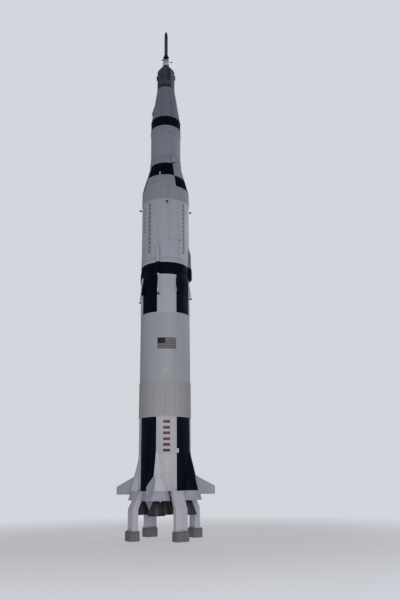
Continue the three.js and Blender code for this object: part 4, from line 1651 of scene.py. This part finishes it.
def legs():
    """Leaning box legs with rounded edges, on feet of cast concrete."""
    trim, steel = leg_trim(), base_plate()
    for corner, name in enumerate(CORNERS):
        leg = finished(rounded(node_copy(f"leg_{name}_plate", "leg_" + name), LEG_EDGE), "leg_white")
        kept(joined(f"leg_{name}_plate", [leg, copied("trim", trim, 90 * corner)]), "leg_" + name)
        foot = finished(rounded(node_copy(f"foot_{name}_block", "foot_" + name), FOOT_EDGE), "concrete")
        kept(joined(f"foot_{name}_block", [foot, copied("steel", steel, 90 * corner)]), "foot_" + name)
    removed(trim)
    removed(steel)


legs()


# Tapered fairings on the skin, over the feed lines, the small motors and the control thrusters

ALL_ROUND = [name for pair in zip(SIDES, CORNERS) for name in pair]
wedge_kinds = [
    # kind, names, azimuth of each, half width of the plate under it, light paint, and the degrees that
    # the paint's edges turn on them, one after another
    ("feed_fairing", SIDES, [2, 97, 182, 265], 0.046, "second_white", [1.7]),
    ("motor_fairing", ALL_ROUND, range(2, 362, 45), 0.042, "skirt_white", [1.7, -1.4, -2.0, -1.4]),
    ("control_fairing", ["front", "back"], [46, 226], 0.062, "third_white", [0]),
]
RING_TOP = 5.315  # top of the black ring
FLANK = 0.7  # how far a face turns sideways or down, from 0 to 1, to count as a flank or an underside
WEDGE_EDGE = 0.004
WEDGE_PLATE_OUT = 0.0015


def wedge_plate(label, azimuth, half, light):
    """The thin plate under a fairing, with a row of bolts along both of its sides."""
    bottom, top = low(label), high(label)
    reach = math.degrees(half / radius_at(bottom))
    parts = [strip(label + "_plate", azimuth, reach, bottom, top, light, WEDGE_PLATE_OUT)]
    for side in (-1, 1):
        turn = azimuth + side * reach * 0.9
        heights = (bottom + 0.01, top - 0.01)
        line = [spot(turn, radius_at(height) + WEDGE_PLATE_OUT, height) for height in heights]
        count = max(4, round((top - bottom) / 0.045))
        parts.append(bolt_row(f"{label}_bolts_{side}", light, *line, spot(turn, 1, 0), count, 0.0032, 0.0028))
    return joined(label + "_plate", parts)


def wedges():
    """Each fairing's cover with rounded edges, its plate, its paint by place, and painted shade by face:
    darker flanks on the feed fairings and black undersides on the control fairings.
    """
    for kind, names, turns, half, light, shifts in wedge_kinds:
        for number, (name, azimuth) in enumerate(zip(names, turns)):
            node_name = f"{kind}_{name}"
            cover = rounded(node_copy(node_name + "_cover", node_name), WEDGE_EDGE)
            base = wedge_plate(node_name, azimuth, half, light)
            whole = joined(node_name + "_cover", [cover, base])
            painted(whole, light, True, shifts[number % len(shifts)])
            sideways = beside(azimuth, 0, 1, 0)
            if kind == "feed_fairing":
                # Painted shade: the flanks above the ring take a darker paint, darkest on the right and left
                # fairings.
                flank = "forward_white" if name in ("front", "back") else "wedge_side"
                repainted(whole, flank, lambda face: (
                    abs(face.normal.dot(sideways)) > FLANK and face.center.z > RING_TOP
                ))
            if kind == "feed_fairing" and name in ("right", "left"):
                repainted(whole, "black", lambda face: face.center.z < RING_TOP)
            # Painted shade: the control fairings' downward faces are painted black.
            if kind == "control_fairing":
                repainted(whole, "black", lambda face: face.normal.z < -FLANK)
            kept(whole, node_name)


wedges()


# Thruster quads

QUAD_Z = 10.110
QUAD_TURN = 15  # degrees, the first quad's place
# Lit and shaded copies of the module's paint, one for each quad: painted light on the right quad, painted
# shade on the left one.
QUAD_LIGHT_AND_SHADE = ["module_mid", "module_light", "module_mid", "module_deep"]
QUAD_HALF = 0.030
QUAD_TALL = 0.038  # half its height
QUAD_DEPTH = 0.016
horn_rows = [
    # radius, distance along the nozzle, from inside the mouth round its lip to the closed end
    (0, 0.010), (0.0035, 0.012), (0.0068, 0.030), (0.0080, 0.030), (0.0070, 0.022), (0.0050, 0.012),
    (0.0045, 0.0), (0, 0.0),
]


def quad(finish):
    """A plate with rounded edges and four small hollow nozzles, at the front."""
    inner = SERVICE_R - 0.001
    outer = inner + QUAD_DEPTH
    sections = [slab(0, inner, outer, QUAD_HALF, QUAD_Z + up) for up in (-QUAD_TALL, QUAD_TALL)]
    parts = [block("quad", sections, 0.003, finish)]
    parts.append(skin_box("quad_hub", 0, QUAD_Z, 0.026, 0.026, QUAD_DEPTH + 0.004, finish))
    for number, (across, up) in enumerate(((1, 0), (-1, 0), (0, 1), (0, -1))):
        start = Vector((across * 0.020, -outer - 0.001, QUAD_Z + up * 0.022))
        end = start + Vector((across * 0.03, -0.004, up * 0.03))
        horn = turned(f"horn_{number}", horn_rows, 16)
        horn.data.transform(along(start, end))
        # The left quad's nozzles are painted dark: painted shade.
        horn_shading = "lamp_dark" if finish == "module_deep" else finish
        parts.append(finished(horn, horn_shading))
    return joined("quad", parts)


def thrusters():
    for side, (name, finish) in enumerate(zip(SIDES, QUAD_LIGHT_AND_SHADE)):
        one = quad(finish)
        kept(copied(f"thrusters_{name}_quad", one, QUAD_TURN + 90 * side), "thrusters_" + name)
        removed(one)


thrusters()


# Command module under its cover

COVER_FOOT = low("command_module")
COVER_TOP = high("command_module")
cover_rows = [
    # height above the cover's foot, radius
    (0.000, 0.198), (0.006, 0.1975), (0.010, 0.196), (0.107, 0.128), (0.160, 0.090), (0.191, 0.072),
    (0.216, 0.056), (COVER_TOP - COVER_FOOT, 0.048),
]
COVER_RIBS = 16


def cover_r(height):
    """The cover's radius at a height."""
    return between(cover_rows, height - COVER_FOOT)[0]


def command_module():
    """The cover over the module: a blunt cone with ribs, a band of bolts, small windows and a hatch."""
    name = "command_module"
    rows = [(radius, COVER_FOOT + up) for up, radius in cover_rows]
    parts = [turned(name + "_cover", [(0, COVER_FOOT), *rows, (0, COVER_TOP)], 96)]
    foot, head = COVER_FOOT + 0.014, COVER_FOOT + 0.104
    radii = cover_r(foot), cover_r(head)
    parts.append(rib_ring(name + "_ribs", "cover_dark", COVER_RIBS, radii, (foot, head), 0.004, 0.0018))
    parts.append(bolt_ring(name + "_bolts", "cover_dark", 64, 0.1975, COVER_FOOT + 0.005, 0.0022, 0.002))
    whole = finished(joined(name + "_cover", parts), "cover_dark")
    fittings = []
    bottom = COVER_FOOT + 0.055
    for number, azimuth in enumerate((-22.5, 0, 22.5, 67.5, 202.5)):
        label = f"{name}_window_{number}"
        fittings.append(strip(label, azimuth, 5, bottom, bottom + 0.026, "pane", 0.001, cover_r))
    bottom, top = COVER_FOOT + 0.03, COVER_FOOT + 0.09
    fittings.append(strip(name + "_hatch", 46, 10, bottom, top, "cover_dark", 0.003, cover_r))
    kept(joined(name + "_cover", [whole, *fittings]), name)


command_module()


# Escape tower and motor

TOWER_TOP = high("escape_tower")
TOWER_TUBE = 0.006
TOWER_PLATE_HALF = 0.049
TOWER_PLATE_THICK = 0.008
tower_levels = [
    # height, half width
    (10.400, 0.058), (10.500, 0.051), (TOWER_TOP - TOWER_TUBE, 0.046),
]
collar_rows = [(0, -0.008), (0.008, -0.008), (0.009, 0), (0.008, 0.008), (0, 0.008)]
LOW_COLLAR_LIFT = 0.018  # the lowest collars stand this much over the legs' ends
tower_lamps = [98, 218, 338]  # azimuths
TOWER_LAMP_Z = 10.550
TOWER_LAMP_OUT = 0.130
TOWER_LAMP_R = 0.015


def escape_tower():
    """A lattice of tubes with collars at its joints, a plate on top and three lamps on arms."""
    name = "escape_tower"
    corners = [(-1, -1), (1, -1), (1, 1), (-1, 1)]
    points = [(x * half, y * half, height) for height, half in tower_levels for x, y in corners]
    legs_and_rails, braces = [], []
    for level in range(2):
        for corner in range(4):
            below, above = 4 * level + corner, 4 * (level + 1) + corner
            after = 4 * (level + 1) + (corner + 1) % 4
            legs_and_rails += [(below, above), (above, after)]
            braces.append((below, after))
    parts = [tubes(name + "_legs", "tower_pale", points, legs_and_rails, TOWER_TUBE, 12)]
    parts.append(tubes(name + "_braces", "tower_pale", points, braces, TOWER_TUBE * 0.7, 8))
    for number, point in enumerate(points):
        collar = turned(f"{name}_collar_{number}", collar_rows, 12)
        lift = LOW_COLLAR_LIFT if number < 4 else 0
        collar.data.transform(Matrix.Translation(Vector(point) + Vector((0, 0, lift))))
        parts.append(finished(collar, "tower_pale"))
    corners = [(x * TOWER_PLATE_HALF, y * TOWER_PLATE_HALF) for x, y in corners]
    sections = [[(x, y, z) for x, y in corners] for z in (TOWER_TOP - TOWER_PLATE_THICK, TOWER_TOP)]
    parts.append(block(name + "_plate", sections, 0.0015, "tower_pale"))
    arm = (0.03, TOWER_TOP - TOWER_TUBE)  # where a lamp's arm starts
    for number, azimuth in enumerate(tower_lamps):
        label = f"{name}_lamp_{number}"
        parts += lamp(label, azimuth, TOWER_LAMP_Z, TOWER_LAMP_OUT, *arm, TOWER_LAMP_R, 0.004)
    kept(joined(name + "_lattice", parts), name)


escape_tower()


HORN_CANT = 35  # degrees
HORN_TURNS = [64, 154, 244, 334]
HORN_OUT = 0.046  # from the axis to a nozzle's middle
HORN_UP = 0.080  # from the block's foot to it
escape_horn_rows = [
    # radius, distance along the nozzle, from inside the mouth round its lip to the closed end
    (0, 0.012), (0.008, 0.010), (0.014, -0.010), (0.0245, -0.033), (0.027, -0.033), (0.0262, -0.029),
    (0.018, -0.010), (0.014, 0.010), (0.012, 0.033), (0, 0.033),
]


def nozzle_block():
    """A dark block with four hollow nozzles that lean outwards."""
    name = "escape_nozzles"
    bottom, top = low(name), high(name)
    rows = [
        (0, bottom), (0.044, bottom), (0.046, bottom + 0.002), (0.0495, bottom + 0.036),
        (0.050, bottom + 0.042), (0.049, bottom + 0.050), (0.0425, top - 0.004), (0.0415, top), (0, top),
    ]
    parts = [turned(name + "_body", rows, 48)]
    parts.append(bolt_ring(name + "_bolts", "black", 16, 0.0478, bottom + 0.012, 0.003, 0.003))
    lean = Matrix.Rotation(math.radians(-HORN_CANT), 4, "X")
    place = Matrix.Translation((0, -HORN_OUT, bottom + HORN_UP))
    for azimuth in HORN_TURNS:
        horn = turned(f"{name}_horn_{azimuth}", escape_horn_rows, 32)
        horn.data.transform(Matrix.Rotation(math.radians(azimuth), 4, "Z") @ place @ lean)
        parts.append(horn)
    kept(finished(joined(name + "_body", parts), "black"), name)


nozzle_block()


MOTOR_R = 0.039
MOTOR_FLANGE = 0.003
motor_bands = [
    # bottom, top, how far out
    (10.792, 10.800, 0.001), (10.940, 10.946, 0.0008), (11.040, 11.050, 0.0012), (11.150, 11.156, 0.0008),
    (11.176, 11.186, 0.0014),
]
NOSE_STEPS = 14
NOSE_POWER = 5.0  # the higher, the blunter


def escape_motor():
    """The motor's casing with joint bands and a conduit."""
    name = "escape_motor"
    bottom, top = low(name), high(name)
    rows = skin_rows(bottom + 0.012, top, MOTOR_R, MOTOR_R, motor_bands)
    flange_r = MOTOR_R + MOTOR_FLANGE
    outline = [(0, bottom), (flange_r, bottom), (flange_r, bottom + 0.006), *rows, (0, top)]
    parts = [turned(name + "_casing", outline, 60)]
    parts.append(bolt_ring(name + "_bolts", "motor_grey", 20, flange_r, bottom + 0.003, 0.002, 0.002))
    for azimuth in (80, 260):
        line = [spot(azimuth, MOTOR_R + 0.001, height) for height in (bottom + 0.02, top - 0.02)]
        parts.append(tubes(f"{name}_conduit_{azimuth}", "motor_grey", line, [(0, 1)], 0.0028, 8))
    kept(finished(joined(name + "_casing", parts), "motor_grey"), name)


def escape_nose():
    """The blunt nose, with a band at its foot."""
    name = "escape_nose"
    bottom, top = low(name), high(name)
    rows = [(0, bottom), (MOTOR_R, bottom), (MOTOR_R, bottom + 0.008), (MOTOR_R - 0.0008, bottom + 0.009)]
    for step in range(1, NOSE_STEPS):
        share = step / NOSE_STEPS
        rows.append((MOTOR_R * (1 - share**NOSE_POWER) - 0.0004, bottom + share * (top - bottom)))
    rows.append((0, top))
    kept(finished(turned(name + "_cap", rows, 60), "nose_dark"), name)


escape_motor()
escape_nose()


# Floor, light and backdrop

BACKDROP = (0.658, 0.672, 0.723)
FLOOR_SIZE = 150
FADE_FROM = 2.0  # the floor fades into the backdrop between these distances from the rocket
FADE_TO = 8.5
FLOOR_GLOW = 0.55  # the share of the backdrop's colour in it beside the rocket


def stage_floor():
    """A plain pale floor that fades into the backdrop far from the rocket."""
    size = FLOOR_SIZE
    corners = [(-size, -size, 0), (size, -size, 0), (size, size, 0), (-size, size, 0)]
    floor = shaped("floor", corners, [(0, 1, 2, 3)])
    material, surface = shader("floor", (0.66, 0.66, 0.67), 0.9, specular=0.2)
    nodes, links = material.node_tree.nodes, material.node_tree.links
    broad = ranged(material, noise(material, 0.5, detail=3), 0.3, 0.7, 0, 1)
    fed(surface, "Base Color", mixed(material, broad, (0.65, 0.65, 0.66), (0.69, 0.69, 0.70)))
    distance = nodes.new("ShaderNodeVectorMath")
    distance.operation = "LENGTH"
    links.new(nodes.new("ShaderNodeTexCoord").outputs["Object"], distance.inputs[0])
    fade = ranged(material, distance.outputs["Value"], FADE_FROM, FADE_TO, FLOOR_GLOW, 1)
    fade.node.interpolation_type = "SMOOTHSTEP"
    glow = nodes.new("ShaderNodeEmission")
    glow.inputs["Color"].default_value = (*BACKDROP, 1)
    blend = nodes.new("ShaderNodeMixShader")
    links.new(fade, blend.inputs[0])
    links.new(surface.outputs[0], blend.inputs[1])
    links.new(glow.outputs[0], blend.inputs[2])
    links.new(blend.outputs[0], nodes["Material Output"].inputs["Surface"])
    finished(floor, "floor")


soft_boxes = [
    # name, azimuth, distance, height, height aimed at, width and height, spread in degrees, power, colour
    ("front", 24, 9.0, 2.4, 2.4, (4.5, 4.2), 104, 98, (1.0, 0.99, 0.98)),
    ("right", 142, 9.0, 9.0, 8.0, (4, 6), 120, 105, (0.90, 0.94, 1.0)),
    ("back", 200, 10.0, 5.0, 4.5, (7, 7), 120, 130, (0.97, 0.98, 1.0)),
]


def soft_box(name, azimuth, out, height, aim, size, spread, power, colour):
    """A large soft light that faces the rocket's axis at a height."""
    data = bpy.data.lights.new(name, "AREA")
    data.shape = "RECTANGLE"
    data.size, data.size_y = size
    data.spread = math.radians(spread)
    data.energy = power
    data.color = colour
    light = bpy.data.objects.new(name, data)
    bpy.context.scene.collection.objects.link(light)
    place = spot(azimuth, out, height)
    light.location = place
    light.rotation_euler = (Vector((0, 0, aim)) - place).to_track_quat("-Z", "Y").to_euler()
    light.visible_camera = False


SURROUND = (0.95, 0.97, 1.05)
SURROUND_STRENGTH = 0.205


def surround():
    """A bright plain backdrop for the camera, over a dimmer even light from all round."""
    world = bpy.data.worlds.new("surround")
    bpy.context.scene.world = world
    world.use_nodes = True
    nodes, links = world.node_tree.nodes, world.node_tree.links
    even = nodes["Background"]
    even.inputs["Color"].default_value = (*SURROUND, 1)
    even.inputs["Strength"].default_value = SURROUND_STRENGTH
    bright = nodes.new("ShaderNodeBackground")
    bright.inputs["Color"].default_value = (*BACKDROP, 1)
    seen = nodes.new("ShaderNodeLightPath")
    blend = nodes.new("ShaderNodeMixShader")
    links.new(seen.outputs["Is Camera Ray"], blend.inputs[0])
    links.new(even.outputs[0], blend.inputs[1])
    links.new(bright.outputs[0], blend.inputs[2])
    links.new(blend.outputs[0], nodes["World Output"].inputs["Surface"])


stage_floor()
surround()
for row in soft_boxes:
    soft_box(*row)
bpy.context.scene.view_settings.view_transform = "Standard"
